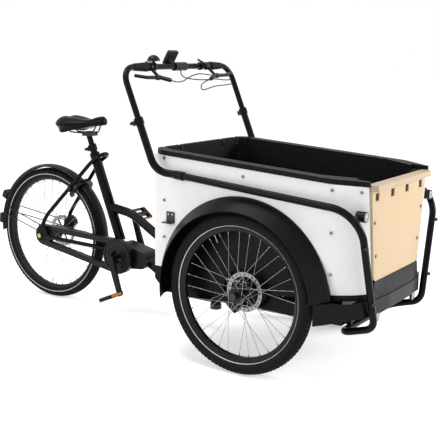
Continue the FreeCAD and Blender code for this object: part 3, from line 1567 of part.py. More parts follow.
def controls():
    perch = tilted(brake_perch())
    lever = tilted(brake_lever())
    bell_body, bell_lever = bell()
    shifter_body, shift_lever = shifter()
    formed("bar_controls", *both(perch), upright(bell_body), upright(display_mount()), tilted(shifter_body))
    formed("brake_lever_right", lever)
    formed("brake_lever_left", mirrored(lever))
    formed("bell_lever", upright(bell_lever))
    formed("display", display())
    formed("shift_lever", tilted(shift_lever))


handlebar()
grips()
controls()
hoses()


# Front lamps and reflectors

def front_lamps():
    """Round lamps on arms from the rail, and reflectors under the skirt."""
    back = Vector(s.lamp_front - s.lamp_length, -s.lamp_offset, s.lamp_height)
    front = Vector(s.lamp_front, -s.lamp_offset, s.lamp_height)
    housing = rod(back, front, s.lamp_radius)
    arm_rear = back.x + s.lamp_arm_inset
    arm = block(arm_rear, arm_rear + s.lamp_arm, -s.rail_top_front_half_width, -s.lamp_offset,
                s.lamp_height - s.lamp_arm / 2, s.lamp_height + s.lamp_arm / 2)
    lamp = housing.fuse(arm).cut(rail_solid).removeSplitter()
    lamp = max(lamp.Solids, key=lambda solid: solid.Volume)
    half = s.front_reflector_stem
    wall_run = s.skirt_front_half_width - s.skirt_wall / 4 - s.skirt_nose_half_width
    share = (s.front_reflector_offset + half - s.skirt_nose_half_width) / wall_run
    wall = s.skirt_nose - (s.skirt_nose - s.skirt_front) * share
    inside = wall - s.skirt_wall - s.seat_gap
    disc_back = Vector(inside - s.front_reflector_depth, -s.front_reflector_offset, s.front_reflector_height)
    disc = rod(disc_back, Vector(inside, disc_back.y, disc_back.z), s.front_reflector_radius)
    stem = block(inside - half, inside, disc_back.y - half, disc_back.y + half, disc_back.z,
                 s.skirt_front_low + s.front_reflector_lap)
    formed("front_lamps", *both(lamp), *both(disc.fuse(stem).removeSplitter()))


front_lamps()


# Screws, nuts, studs and hooks

def rail_at(height):
    """The right rail's centre on its front run at a height."""
    high, low = rail_right[1], rail_right[2]
    return high + (low - high) * ((high.z - height) / (high.z - low.z))


def panel_screw(spot, out):
    base = spot + out * s.fit_gap
    head = rod(base, base + out * s.screw_head_height, s.screw_head_radius)
    shank = rod(base, base - out * s.screw_length, s.screw_radius)
    return head.fuse(shank).cut(right_panel).removeSplitter()


def small_parts():
    solids = []
    for spot, out in panel_screws:
        solids += both(panel_screw(spot, out))
    board_face = s.board_back + s.board_thickness
    for y, z in ((s.board_screw_high_offset, s.board_screw_high),
                 (s.board_screw_low_offset, s.board_screw_low)):
        start = Vector(board_face, -y, z)
        solids += both(rod(start, start + Vector(s.screw_head_height, 0, 0), s.screw_head_radius))
    stud_out = Vector(1, -1, 0).normalize()
    for height in (s.stud_high, s.stud_low):
        start = rail_at(height)
        stud = rod(start, start + stud_out * (s.rail_radius + s.stud_length), s.stud_radius).cut(rail_solid)
        solids += both(max(stud.Solids, key=lambda solid: -solid.CenterOfMass.y))
    nut_start = s.half_track + s.front_hub_reach + s.seat_gap
    nut = ring(front_axle - ACROSS * nut_start, front_axle - ACROSS * (nut_start + s.axle_nut_length),
               s.axle_nut_radius, s.front_axle_radius)
    solids += both(nut)
    nut_high = Vector(-s.steering_back, 0, s.head_low - s.seat_gap)
    solids.append(ring(nut_high, nut_high - UP * s.king_nut_height, s.king_nut_radius, s.king_pin_radius))
    face = -s.panel_half_width
    front = -s.hook_back + s.hook_half_length
    outer = face - s.hook_thickness
    hook = block(-s.hook_back - s.hook_half_length, front, outer, face, s.hook_low,
                 s.hook_low + s.hook_height)
    foot = block(-s.hook_back - s.hook_foot_half_length, front, face - s.hook_depth, outer, s.hook_low,
                 s.hook_low + s.hook_thickness)
    solids += both(hook.fuse(foot).removeSplitter())
    formed("screws_and_brackets", *solids)


small_parts()

# Rear frame

crank_axle = Vector(-s.crank_back, 0, s.crank_height)
seat_up = Rotation(ACROSS, -s.seat_tube_lean).multVec(UP)
seat_foot = Vector(-s.seat_tube_foot_back, 0, s.seat_tube_foot_height)
seat_top = seat_foot + seat_up * s.seat_tube_length
motor_nose = Vector(-s.motor_nose_back, 0, s.motor_nose_height)
motor_solid = belt(crank_axle, s.motor_radius, motor_nose, s.motor_nose_radius, -s.motor_half_width,
                   s.motor_half_width)
seat_solid = rod(seat_foot, seat_foot + seat_up * s.seat_tube_thick_length, s.seat_tube_radius)
head_axis = Vector(-s.steering_back, 0, 0)
head_solid = rod(head_axis + UP * s.head_low, head_axis + UP * s.head_high, s.head_radius)


def on_seat_tube(height):
    return seat_foot + seat_up * ((height - seat_foot.z) / seat_up.z)


def steering_head():
    """Head tube with a flanged bush at each end, on which the king pin turns."""
    bore = s.king_pin_radius + s.running_gap
    shell = head_solid.cut(rod(head_axis + UP * s.head_low, head_axis + UP * s.head_high, s.head_bore))
    upper_low = head_axis + UP * (s.head_high - s.bush_length)
    upper_high = head_axis + UP * s.head_high
    collar_high = head_axis + UP * (s.side_member_high - s.seat_gap)
    flange = ring(upper_high, collar_high, s.head_radius, bore)
    upper = ring(upper_low, upper_high, s.head_bore, bore).fuse(flange)
    lower_low = head_axis + UP * s.head_low
    lower = ring(lower_low, lower_low + UP * s.bush_length, s.head_bore, bore)
    formed("steering_head", shell, upper.removeSplitter(), lower)


def main_tubes():
    inner = s.main_tube_radius - s.tube_wall
    upper_points = [on_seat_tube(s.upper_tube_seat_height),
                    Vector(-s.upper_tube_bend_back, 0, s.upper_tube_bend_height),
                    head_axis + UP * s.upper_tube_head_height]
    upper = tube(upper_points, [s.upper_tube_bend], s.main_tube_radius, inner).cut([seat_solid, head_solid])
    formed("upper_main_tube", upper)
    lower_points = [Vector(-s.lower_tube_start_back, 0, s.lower_tube_start_height),
                    Vector(-s.lower_tube_bend_back, 0, s.lower_tube_head_height),
                    head_axis + UP * s.lower_tube_head_height]
    lower = tube(lower_points, [s.lower_tube_bend], s.main_tube_radius, inner).cut([motor_solid, head_solid])
    formed("lower_main_tube", lower)


seat_collar, seat_lever = clamp(s.seat_sleeve_radius)


def seat_tube():
    """Hollow seat tube whose thick upper end and slimmer sleeve hold the post."""
    liner_foot = seat_top - seat_up * (s.post_insert + s.post_spare)
    hollow = rod(seat_foot, liner_foot, s.seat_tube_radius - s.tube_wall)
    bore = rod(liner_foot, seat_top, s.post_radius + s.running_gap)
    sleeve = rod(liner_foot, seat_top, s.seat_sleeve_radius)
    pipe = seat_solid.fuse(sleeve).cut([hollow, bore, motor_solid]).removeSplitter()
    formed("seat_tube", pipe, set_on(seat_collar, seat_top, seat_up))
    formed("seat_clamp_lever", set_on(seat_lever, seat_top, seat_up))


def dropout():
    """Right dropout plate round the rear axle, with lobes for both stays."""
    inner = -s.dropout_offset + s.dropout_thickness / 2
    outer = -s.dropout_offset - s.dropout_thickness / 2
    x, z = rear_axle.x, rear_axle.z
    wide = s.dropout_radius
    lobe_high = s.stay_foot_height + s.stay_lobe_rise
    points = [Vector(x - wide, inner, z - wide), Vector(x + wide, inner, z - wide),
              Vector(x + 2 * wide, inner, z - s.chain_lobe_half),
              Vector(x + 2 * wide, inner, z + s.chain_lobe_half),
              Vector(x + s.stay_lobe_front, inner, lobe_high), Vector(x - s.stay_lobe_rear, inner, lobe_high),
              Vector(x - wide, inner, z)]
    big, small = s.dropout_corner, s.dropout_lobe_corner
    solid = plate(points, [big, big, small, small, small, small, big], Vector(0, outer - inner, 0))
    axle_hole = rod(rear_axle - ACROSS * far_up, rear_axle, s.rear_axle_radius + s.seat_gap)
    return solid.cut(axle_hole)


dropout_right = dropout()


def chain_stay():
    points = [Vector(-s.chain_stay_front_back, -s.chain_stay_front_half_width, s.chain_stay_front_height),
              Vector(-s.chain_stay_knee_back, -s.dropout_offset, s.chain_stay_knee_height),
              Vector(rear_axle.x + 1.5 * s.dropout_radius, -s.dropout_offset, rear_axle.z)]
    solid = tube(points, [s.chain_stay_bend], s.chain_stay_radius)
    hollow = tube(points, [s.chain_stay_bend], s.chain_stay_radius - s.stay_wall)
    return solid.cut(motor_solid), hollow


def chain_stays():
    solid, hollow = chain_stay()
    stay = solid.cut(hollow).fuse(dropout_right).removeSplitter()
    formed("chain_stays", *both(stay))


stay_half_gap = s.seat_tube_radius + s.stay_radius - s.fit_gap
stay_points = symmetric([
    Vector(rear_axle.x + s.stay_foot_forward, -s.dropout_offset, s.stay_foot_height),
    Vector(-s.stay_knee_back, -s.stay_knee_half_width, s.stay_knee_height),
    Vector(-s.stay_neck_back, -stay_half_gap, s.stay_neck_height),
    Vector(-s.stay_loop_back, -stay_half_gap, s.stay_loop_height),
])
stay_bends = [s.stay_knee_bend, s.stay_knee_bend, stay_half_gap - s.stay_wall]
stay_solid = tube(stay_points, stay_bends + stay_bends[::-1], s.stay_radius)


def seat_stays():
    """One hairpin tube that loops round the seat tube's head and runs down to both dropouts."""
    inner = tube(stay_points, stay_bends + stay_bends[::-1], s.stay_radius - s.stay_wall)
    formed("seat_stays", stay_solid.cut(inner).cut([seat_solid] + both(dropout_right)))


steering_head()
main_tubes()
seat_tube()
chain_stays()
seat_stays()


# Rear axle, rear brake and drive

def rear_axle_and_nuts():
    outer = s.dropout_offset + s.dropout_thickness / 2
    tip = outer + s.seat_gap + s.rear_nut_length
    pin = rod(rear_axle - ACROSS * tip, rear_axle + ACROSS * tip, s.rear_axle_radius)
    start = rear_axle - ACROSS * (outer + s.seat_gap)
    nut = ring(start, start - ACROSS * s.rear_nut_length, s.rear_nut_radius, s.rear_axle_radius)
    formed("rear_axle", pin, *both(nut))


def rear_caliper():
    """Caliper over the left rear disc, on a bracket against the dropout."""
    face = s.dropout_offset - s.dropout_thickness / 2
    inside = face - s.caliper_bracket
    centre = rear_axle + ACROSS * s.rear_disc_offset
    body = turned(caliper(-s.caliper_half_depth, inside - s.rear_disc_offset), centre, s.rear_caliper_angle)
    half = s.caliper_half_length / 2
    arm = turned(block(s.dropout_radius / 2, s.caliper_outer, inside, face, -half, half), rear_axle,
                 s.rear_caliper_angle)
    solid, hollow = chain_stay()
    clear = [mirrored(solid), stay_solid]
    formed("rear_brake_caliper", body, arm.cut(clear))


def motor():
    """Mid motor casing with the crank spindle's bore."""
    cavity = belt(crank_axle, s.motor_radius - s.motor_wall, motor_nose, s.motor_nose_radius - s.motor_wall,
                  -s.motor_half_width + s.motor_wall, s.motor_half_width - s.motor_wall)
    start, end = crank_axle - ACROSS * far_up, crank_axle + ACROSS * far_up
    side = ACROSS * s.motor_half_width
    sleeve = rod(crank_axle - side, crank_axle + side, 2 * s.spindle_radius)
    shell = motor_solid.cut(cavity).fuse(sleeve).cut(rod(start, end, s.spindle_radius + s.running_gap))
    formed("motor_housing", shell.removeSplitter())


def crank_arm():
    """Right crank, tapered from its boss to the pedal's eye."""
    outer = -s.crank_inner - s.crank_thickness
    tip = crank_tip()
    shape = belt(crank_axle, s.crank_boss_radius, tip, s.crank_tip_radius, outer, -s.crank_inner)
    bore = rod(crank_axle - ACROSS * far_up, crank_axle, s.spindle_radius)
    return shape.cut(bore)


def crank_tip():
    return crank_axle + Rotation(ACROSS, -s.crank_angle).multVec(Vector(s.crank_length, 0, 0))


def crankset():
    outer = s.crank_inner + s.crank_thickness
    spindle = rod(crank_axle - ACROSS * outer, crank_axle + ACROSS * outer, s.spindle_radius)
    right = crank_arm()
    left = mirrored(right)
    left.rotate(crank_axle, ACROSS, 180)
    pedal_end = s.pedal_inner + s.pedal_width - s.pedal_window_inset
    right_axle = rod(crank_tip() - ACROSS * outer, crank_tip() - ACROSS * pedal_end, s.pedal_spindle_radius)
    left_axle = mirrored(right_axle)
    left_axle.rotate(crank_axle, ACROSS, 180)
    low = -s.chain_offset - s.chainring_thickness / 2
    high = -s.chain_offset + s.chainring_thickness / 2
    ring_radius = s.chainring_pitch_radius - s.chain_half_thickness - s.chain_gap
    chainring = ring(crank_axle + ACROSS * low, crank_axle + ACROSS * high, ring_radius, s.spindle_radius)
    boss_start = crank_axle - ACROSS * (s.motor_half_width + s.drive_side_gap)
    boss = ring(boss_start, crank_axle + ACROSS * low, s.chainring_boss_radius, s.spindle_radius)
    windows = []
    for index in range(int(s.chainring_window_count)):
        turn = Rotation(ACROSS, 360.0 * index / s.chainring_window_count)
        spot = crank_axle + turn.multVec(Vector(s.chainring_window_spot, 0, 0))
        windows.append(rod(spot + ACROSS * low, spot + ACROSS * high, s.chainring_window_radius))
    spider = chainring.cut(windows).fuse(boss).removeSplitter()
    formed("crankset", spindle, right, left, right_axle, left_axle, spider)


def pedal(label, side, tip, tilt):
    """A cage pedal, drawn from sketches, that turns on the crank's spindle."""
    body = new_body(label)
    plan = new_sketch(body, f"{label}_plan", "XY_Plane")
    inner, outer = f"{side} * pedal_inner", f"{side} * (pedal_inner + pedal_width)"
    draw_polygon(plan, [("-pedal_half_length", inner), ("pedal_half_length", inner),
                        ("pedal_half_length", outer), ("-pedal_half_length", outer)])
    document.recompute()
    pad = body.newObject("PartDesign::Pad", f"{label}_block")
    pad.Profile = plan
    bind(pad, "Length", "2 * pedal_half_height")
    pad.Midplane = True
    document.recompute()
    holes = new_sketch(body, f"{label}_windows", "XY_Plane")
    window_in = f"{side} * (pedal_inner + pedal_window_inset)"
    window_out = f"{side} * (pedal_inner + pedal_width - pedal_window_inset - pedal_window_inset)"
    near, far = "pedal_spindle_radius + pedal_window_wall", "pedal_half_length - pedal_window_inset / 2"
    draw_polygon(holes, [(near, window_in), (far, window_in), (far, window_out), (near, window_out)])
    draw_polygon(holes, [(f"-({near})", window_in), (f"-({far})", window_in), (f"-({far})", window_out),
                         (f"-({near})", window_out)])
    document.recompute()
    pocket = body.newObject("PartDesign::Pocket", f"{label}_window_cut")
    pocket.Profile = holes
    pocket.Type = 1
    pocket.Midplane = True
    document.recompute()
    bore_sketch = new_sketch(body, f"{label}_bore", "XZ_Plane")
    draw_circle(bore_sketch, "0 * pedal_width", "pedal_spindle_radius + running_gap")
    document.recompute()
    bore = body.newObject("PartDesign::Pocket", f"{label}_bore_cut")
    bore.Profile = bore_sketch
    bind(bore, "Length", "pedal_inner + pedal_width - pedal_window_inset")
    bore.Reversed = side < 0
    body.Tip = bore
    body.Placement = Placement(ORIGIN, Rotation(ACROSS, -tilt))
    bind(body, "Placement.Base.x", f"{FRONT_AXLE_X} - crank_back + {tip.x - crank_axle.x}")
    body.Placement.Base.z = tip.z
    document.recompute()


def chain_and_sprocket():
    """Chain loop, and the rear sprocket that runs free on the axle."""
    low = -s.chain_offset - s.chain_half_width
    high = -s.chain_offset + s.chain_half_width
    half = s.chain_half_thickness
    big, small = s.chainring_pitch_radius, s.sprocket_pitch_radius
    loop = belt(crank_axle, big + half, rear_axle, small + half, low, high)
    hole = belt(crank_axle, big - half, rear_axle, small - half, low, high)
    formed("drive_chain", loop.cut(hole))
    bore = s.rear_axle_radius + s.running_gap
    radius = s.sprocket_pitch_radius - half - s.chain_gap
    middle = rear_axle - ACROSS * s.chain_offset
    half_disc = ACROSS * s.chainring_thickness / 2
    disc = ring(middle - half_disc, middle + half_disc, radius, bore)
    boss = ring(rear_axle - ACROSS * (s.rear_hub_reach + s.drive_side_gap),
                middle - ACROSS * (s.case_half_width - s.drive_side_gap), s.sprocket_boss_radius, bore)
    formed("rear_sprocket", disc.fuse(boss).removeSplitter())


def chain_case():
    """Hollow case round the chain: a drum at the cranks, a drum at the sprocket, and two runs between."""
    low = -s.chain_offset - s.case_half_width
    high = -s.chain_offset + s.case_half_width
    wall = s.case_wall
    big = s.chainring_pitch_radius + s.case_margin
    small = s.sprocket_pitch_radius + s.case_margin
    big_in = s.chainring_pitch_radius - s.case_inner_margin
    small_in = s.sprocket_pitch_radius - s.case_inner_margin

    def drums(inset, y_low, y_high):
        front = rod(crank_axle + ACROSS * y_low, crank_axle + ACROSS * y_high, big - inset)
        rear = rod(rear_axle + ACROSS * y_low, rear_axle + ACROSS * y_high, small - inset)
        return [front, rear]

    def runs(inset, y_low, y_high):
        outer = belt(crank_axle, big - inset, rear_axle, small - inset, y_low, y_high)
        inner = belt(crank_axle, big_in + inset, rear_axle, small_in + inset, y_low, y_high)
        return outer.cut(inner).fuse(drums(inset, y_low, y_high))

    shell = runs(0, low, high).cut(runs(wall, low + wall, high - wall))
    crank_hole = rod(crank_axle + ACROSS * low, crank_axle + ACROSS * high,
                     s.chainring_boss_radius + s.case_crank_gap)
    axle_hole = rod(rear_axle + ACROSS * low, rear_axle + ACROSS * high,
                    s.sprocket_boss_radius + s.case_axle_gap)
    formed("chain_case", shell.cut([crank_hole, axle_hole]).removeSplitter())


rear_axle_and_nuts()
rear_caliper()
motor()
crankset()
tip_right = crank_tip()
tip_left = crank_axle * 2 - tip_right
pedal("pedal_right", -1, tip_right, s.right_pedal_tilt)
pedal("pedal_left", 1, tip_left, s.left_pedal_tilt)
chain_and_sprocket()
chain_case()


# Rear mudguard, lamp and ring lock

def fender_section(inset):
    """Half-round section of the mudguard, from edge to edge over the crown."""
    edge = s.fender_half_width - inset
    crown = s.fender_radius - inset
    rise = s.fender_radius - s.fender_edge_radius
    points = []
    for step in range(9):
        across = -edge + 2 * edge * step / 8
        points.append((crown - rise * (across / edge) ** 2, across))
    return points


def fender_solid():
    outer = fender_section(0)
    inner = fender_section(s.fender_thickness)
    inner[0] = (outer[0][0] - s.fender_thickness, inner[0][1])
    inner[-1] = (outer[-1][0] - s.fender_thickness, inner[-1][1])
    return swept_round(outer + inner[::-1], rear_axle, s.fender_front_angle, s.fender_sweep)


fender = fender_solid()


def mudguard():
    """Mudguard with two wire stays a side, from its edges to the dropouts."""
    wires = []
    eyelet_y = -(s.dropout_offset - s.dropout_thickness / 2 - s.fender_stay_radius)
    high_eyelet = Vector(s.fender_stay_high_forward, eyelet_y, s.fender_stay_high_rise)
    low_eyelet = Vector(-s.fender_stay_low_back, eyelet_y, s.fender_stay_low_rise)
    for angle, eyelet in ((s.fender_stay_high, high_eyelet), (s.fender_stay_low, low_eyelet)):
        edge = Rotation(ACROSS, -angle).multVec(Vector(s.fender_edge_radius - s.fender_stay_inset, 0, 0))
        start = rear_axle + edge - ACROSS * (s.fender_half_width - s.fender_stay_radius)
        wire = rod(start, rear_axle + eyelet, s.fender_stay_radius).cut([fender, dropout_right, stay_solid])
        wires += both(max(wire.Solids, key=lambda solid: solid.Volume))
    formed("rear_mudguard", fender, *wires)


def rear_lamp():
    """Lamp and lower reflector seated on the mudguard's crown."""
    inner = s.fender_edge_radius + s.fender_thickness
    lamp = block(inner, s.rear_lamp_reach, -s.rear_lamp_half_width, s.rear_lamp_half_width,
                 -s.rear_lamp_half_height, s.rear_lamp_half_height)
    lamp = turned(lamp, rear_axle, s.lamp_angle)
    tail = block(inner, s.fender_radius + s.reflector_depth, -s.reflector_half_width, s.reflector_half_width,
                 -s.reflector_half_height, s.reflector_half_height)
    tail = turned(tail, rear_axle, s.reflector_angle)
    section = [(0, -s.fender_half_width)] + fender_section(0) + [(0, s.fender_half_width)]
    filled = swept_round(section, rear_axle, s.fender_front_angle, s.fender_sweep)
    formed("rear_lamp", lamp.cut(filled), tail.cut(filled))


lock_origin = rear_axle + Rotation(ACROSS, -s.lock_angle).multVec(Vector(s.lock_centre, 0, 0))


def sector(inner, outer, half_depth, first_angle, sweep):
    """Part of a ring in the plane of Z, from an angle round from X."""
    corners = [Vector(inner, 0, -half_depth), Vector(outer, 0, -half_depth), Vector(outer, 0, half_depth),
               Vector(inner, 0, half_depth)]
    face = Part.Face(Part.makePolygon(corners + corners[:1]))
    face.rotate(ORIGIN, UP, first_angle)
    return face.revolve(ORIGIN, UP, sweep)


def ring_lock():
    """Horseshoe lock astride the tyre, held on the seat stays, with its shackle and key."""
    depth, lap = s.lock_half_depth, s.lock_lap
    half_open = s.lock_opening / 2
    first = half_open - 180
    body = sector(s.lock_inner, s.lock_outer, depth, first, 360 - s.lock_opening)
    gap = s.seat_gap
    groove = sector(s.shackle_inner - gap, s.shackle_outer + gap, s.shackle_half_depth + gap, first - 1,
                    362 - s.lock_opening)
    half = s.lock_lug_half
    lug = block(-half, half, -s.lock_outer - s.lock_lug_out, -s.lock_outer + half, depth - lap,
                depth + s.lock_lug_rise)
    middle = (s.lock_inner + s.lock_outer) / 2
    key_spot = Rotation(UP, 180 - half_open - s.key_angle).multVec(Vector(middle, 0, 0))
    low = -depth - s.lock_block_rise
    key_block = block(key_spot.x - s.lock_block, key_spot.x + s.lock_block, key_spot.y - s.lock_block / 2,
                      key_spot.y + s.lock_block / 2, low, lap - depth)
    body = body.fuse(both(lug) + [key_block]).cut(groove)
    keyhole = rod(key_spot + UP * 2 * low, key_spot + UP * (lap / 2 - depth), s.key_radius + s.running_gap)
    placed = turned(body.cut(keyhole).removeSplitter(), lock_origin, s.lock_angle).cut(stay_solid)
    formed("ring_lock_body", max(placed.Solids, key=lambda solid: solid.Volume))
    shackle = sector(s.shackle_inner, s.shackle_outer, s.shackle_half_depth, first, s.shackle_sweep)
    formed("lock_shackle", turned(shackle, lock_origin, s.lock_angle))
    key_top = key_spot + UP * (lap / 3 - depth)
    key_low = key_spot + UP * (low - s.key_shaft)
    head = block(key_spot.x - s.key_head, key_spot.x + s.key_head, key_spot.y - s.key_thickness / 2,
                 key_spot.y + s.key_thickness / 2, key_low.z - s.key_head_length, key_low.z)
    key = rod(key_top, key_low - UP * s.key_thickness, s.key_radius).fuse(head)
    formed("lock_key", turned(key.removeSplitter(), lock_origin, s.lock_angle))


mudguard()
rear_lamp()
ring_lock()

# Seat


def seat_post():
    foot = seat_top - seat_up * s.post_insert
    post = rod(foot, seat_top + seat_up * s.post_insert, s.post_radius)
    above = block(-far_up, far_up, -far_up, far_up, s.post_head_height, far_up)
    formed("seat_post", post.cut(above))


def saddle_section(x, wide, low, crown):
    """One rib of the saddle: skirts either side of a channel, drawn-in sides and a crowned top."""
    inset = 0.9 * wide
    channel = max(s.saddle_low, low + 2)
    side = low + (crown - low) * 0.6
    inner = inset - min(s.saddle_skirt_width, wide / 2)
    half = [Vector(x, -inner, channel), Vector(x, -inset, low), Vector(x, -wide, side)]
    right, left = half, [mirrored_point(point) for point in half]
    lines = list(zip(right, right[1:])) + list(zip(left, left[1:])) + [(left[0], right[0])]
    edges = [Part.LineSegment(start, end).toShape() for start, end in lines]
    edges.append(Part.Arc(right[-1], Vector(x, 0, crown), left[-1]).toShape())
    return Part.Wire(Part.__sortEdges__(edges))


def saddle_solid():
    """Padded saddle: wide behind, narrow towards a nose that tips up."""
    nose = -s.saddle_front_back
    # Each rib: its place back from the nose and its half width as shares, then its crown above the saddle's
    # crown and its lower edge above the saddle's base.
    ribs = [(1.0, 0.52, -9, 11), (0.9, 0.86, -1, -26), (0.72, 1.0, 0, -24), (0.5, 0.74, -3, -5),
            (0.3, 0.42, 1, 13), (0.1, 0.27, 6, 20), (0.02, 0.2, 3, 24), (0.0, 0.12, -8, 32)]
    wires = [saddle_section(nose - s.saddle_length * back, s.saddle_half_width * wide, s.saddle_low + low,
                            s.saddle_crown + crown) for back, wide, crown, low in ribs]
    return Part.makeLoft(wires, True, False)


def saddle_rails(cushion):
    """Two wire rails under the saddle and the block that clamps them on the post."""
    half, level = s.saddle_rail_half_gap, s.saddle_rail_height
    front = -s.saddle_front_back
    long = s.saddle_length
    inside = s.saddle_low + s.saddle_skirt_width
    nose_inside = s.saddle_crown - s.saddle_skirt_width
    points = [Vector(front - 0.86 * long, -half - s.saddle_rail_rear_spread, inside),
              Vector(front - 0.74 * long, -half, level), Vector(front - 0.25 * long, -half, level),
              Vector(front - 0.13 * long, -half + s.saddle_rail_front_spread, nose_inside)]
    whole = tube(points, [s.saddle_rail_bend] * 2, s.saddle_rail_radius).cut(cushion)
    wire = max(whole.Solids, key=lambda solid: solid.Volume)
    clamp_front = -s.saddle_clamp_front_back
    clamp_block = block(clamp_front - s.saddle_clamp_length, clamp_front, -s.saddle_clamp_half_width,
                        s.saddle_clamp_half_width, s.post_head_height,
                        s.post_head_height + s.saddle_clamp_height)
    formed("saddle_rails", *both(wire), clamp_block.cut(both(wire)))


seat_post()
cushion_solid = saddle_solid()
saddle_rails(cushion_solid)
formed("saddle", cushion_solid)

# Checks and files

document.recompute()
for thing in document.Objects:
    faults = [state for state in thing.State if state in ("Invalid", "Error")]
    if faults:
        raise RuntimeError(f"{thing.Label} is {faults}")
for node in nodes:
    if node.Shape.isNull() or not node.Shape.isValid() or not node.Shape.Solids:
        raise RuntimeError(f"{node.Label} has no valid shape")
os.makedirs("parts", exist_ok=True)
for node in nodes:
    node.Shape.exportStep(f"parts/{node.Label}.step")
print(len(nodes), "sub-parts")
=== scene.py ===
import math

import bmesh
import bpy
from mathutils import Matrix, Vector


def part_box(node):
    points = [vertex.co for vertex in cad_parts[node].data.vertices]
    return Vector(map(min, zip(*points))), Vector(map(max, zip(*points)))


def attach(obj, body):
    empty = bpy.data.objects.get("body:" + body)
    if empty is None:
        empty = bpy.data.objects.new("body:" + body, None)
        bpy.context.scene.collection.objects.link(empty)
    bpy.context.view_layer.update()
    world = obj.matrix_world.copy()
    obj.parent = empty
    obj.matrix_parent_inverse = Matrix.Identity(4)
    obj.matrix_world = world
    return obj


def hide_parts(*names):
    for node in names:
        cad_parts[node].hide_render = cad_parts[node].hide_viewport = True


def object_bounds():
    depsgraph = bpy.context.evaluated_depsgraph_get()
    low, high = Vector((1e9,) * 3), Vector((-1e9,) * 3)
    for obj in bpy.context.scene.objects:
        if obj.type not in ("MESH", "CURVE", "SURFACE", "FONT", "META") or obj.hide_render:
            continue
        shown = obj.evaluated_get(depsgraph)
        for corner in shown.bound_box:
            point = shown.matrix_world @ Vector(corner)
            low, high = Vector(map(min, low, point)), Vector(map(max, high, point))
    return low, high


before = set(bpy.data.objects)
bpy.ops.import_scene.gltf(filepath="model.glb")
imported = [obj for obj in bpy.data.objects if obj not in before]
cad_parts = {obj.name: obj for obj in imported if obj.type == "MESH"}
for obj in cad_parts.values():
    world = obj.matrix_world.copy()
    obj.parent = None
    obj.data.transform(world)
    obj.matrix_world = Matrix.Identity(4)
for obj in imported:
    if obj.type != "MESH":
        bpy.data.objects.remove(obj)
cad_low, cad_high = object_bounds()

# Studio: a white floor under soft boxes, and the camera at the photograph's viewing point, off the
# right front wheel at chest height.
CAMERA_SPOT = Vector((2.37394, -3.20067, 1.25469))
CAMERA_HEADING = math.radians(123.478)
CAMERA_DIP = math.radians(-10.967)
CAMERA_ROLL = math.radians(0.7045)
CAMERA_LENS = 72.41
SENSOR_WIDTH = 36.0
FLOOR_HALF = 40.0
FLOOR_WHITE = (0.9, 0.9, 0.9, 1)
FLOOR_LIFT = 0.44
SKY_FOR_SURFACES = 0.66
WHITE = (1.0, 1.0, 1.0, 1)


def into_scene(name, mesh, *surfaces):
    """Makes an object of a finished bmesh, in the row frame, with its finishes, and links it."""
    made = bpy.data.meshes.new(name)
    mesh.to_mesh(made)
    mesh.free()
    for surface in surfaces:
        made.materials.append(surface)
    thing = bpy.data.objects.new(name, made)
    bpy.context.scene.collection.objects.link(thing)
    return thing


def worked_out(tree, operation, *values):
    """Output of a math node whose inputs are other nodes' outputs or plain numbers."""
    node = tree.nodes.new("ShaderNodeMath")
    node.operation = operation
    for socket, value in zip(node.inputs, values):
        if isinstance(value, float):
            socket.default_value = value
        else:
            tree.links.new(value, socket)
    return node.outputs[0]


def rescaled(tree, source, old_span, new_span, clamp=True):
    """Output of a node that carries the values of one span over to another."""
    node = tree.nodes.new("ShaderNodeMapRange")
    node.clamp = clamp
    node.inputs["From Min"].default_value = old_span[0]
    node.inputs["From Max"].default_value = old_span[1]
    node.inputs["To Min"].default_value = new_span[0]
    node.inputs["To Max"].default_value = new_span[1]
    tree.links.new(source, node.inputs["Value"])
    return node.outputs["Result"]


def seen_directly(tree):
    """One for rays from the camera, a mirror or glass, and nought for light that surfaces scatter."""
    path = tree.nodes.new("ShaderNodeLightPath")
    mirrored = worked_out(tree, "MAXIMUM", path.outputs["Is Camera Ray"], path.outputs["Is Glossy Ray"])
    return worked_out(tree, "MAXIMUM", mirrored, path.outputs["Is Transmission Ray"])


ahead = Vector((math.cos(CAMERA_DIP) * math.cos(CAMERA_HEADING),
                math.cos(CAMERA_DIP) * math.sin(CAMERA_HEADING), math.sin(CAMERA_DIP)))
level = ahead.cross(Vector((0, 0, 1))).normalized()
over = level.cross(ahead)
right = level * math.cos(CAMERA_ROLL) + over * math.sin(CAMERA_ROLL)
up = over * math.cos(CAMERA_ROLL) - level * math.sin(CAMERA_ROLL)
camera = bpy.data.objects.new("camera", bpy.data.cameras.new("camera"))
camera.data.lens = CAMERA_LENS
camera.data.sensor_width = SENSOR_WIDTH
camera.matrix_world = Matrix.Translation(CAMERA_SPOT) @ Matrix((right, up, -ahead)).transposed().to_4x4()
bpy.context.scene.collection.objects.link(camera)
bpy.context.scene.camera = camera
bpy.context.scene.view_settings.view_transform = "Standard"

sky = bpy.data.worlds.new("white_room")
bpy.context.scene.world = sky
sky.use_nodes = True
room = sky.node_tree
backdrop = room.nodes["Background"]
backdrop.inputs["Color"].default_value = WHITE
sky_strength = rescaled(room, seen_directly(room), (0.0, 1.0), (SKY_FOR_SURFACES, 1.0))
room.links.new(sky_strength, backdrop.inputs["Strength"])

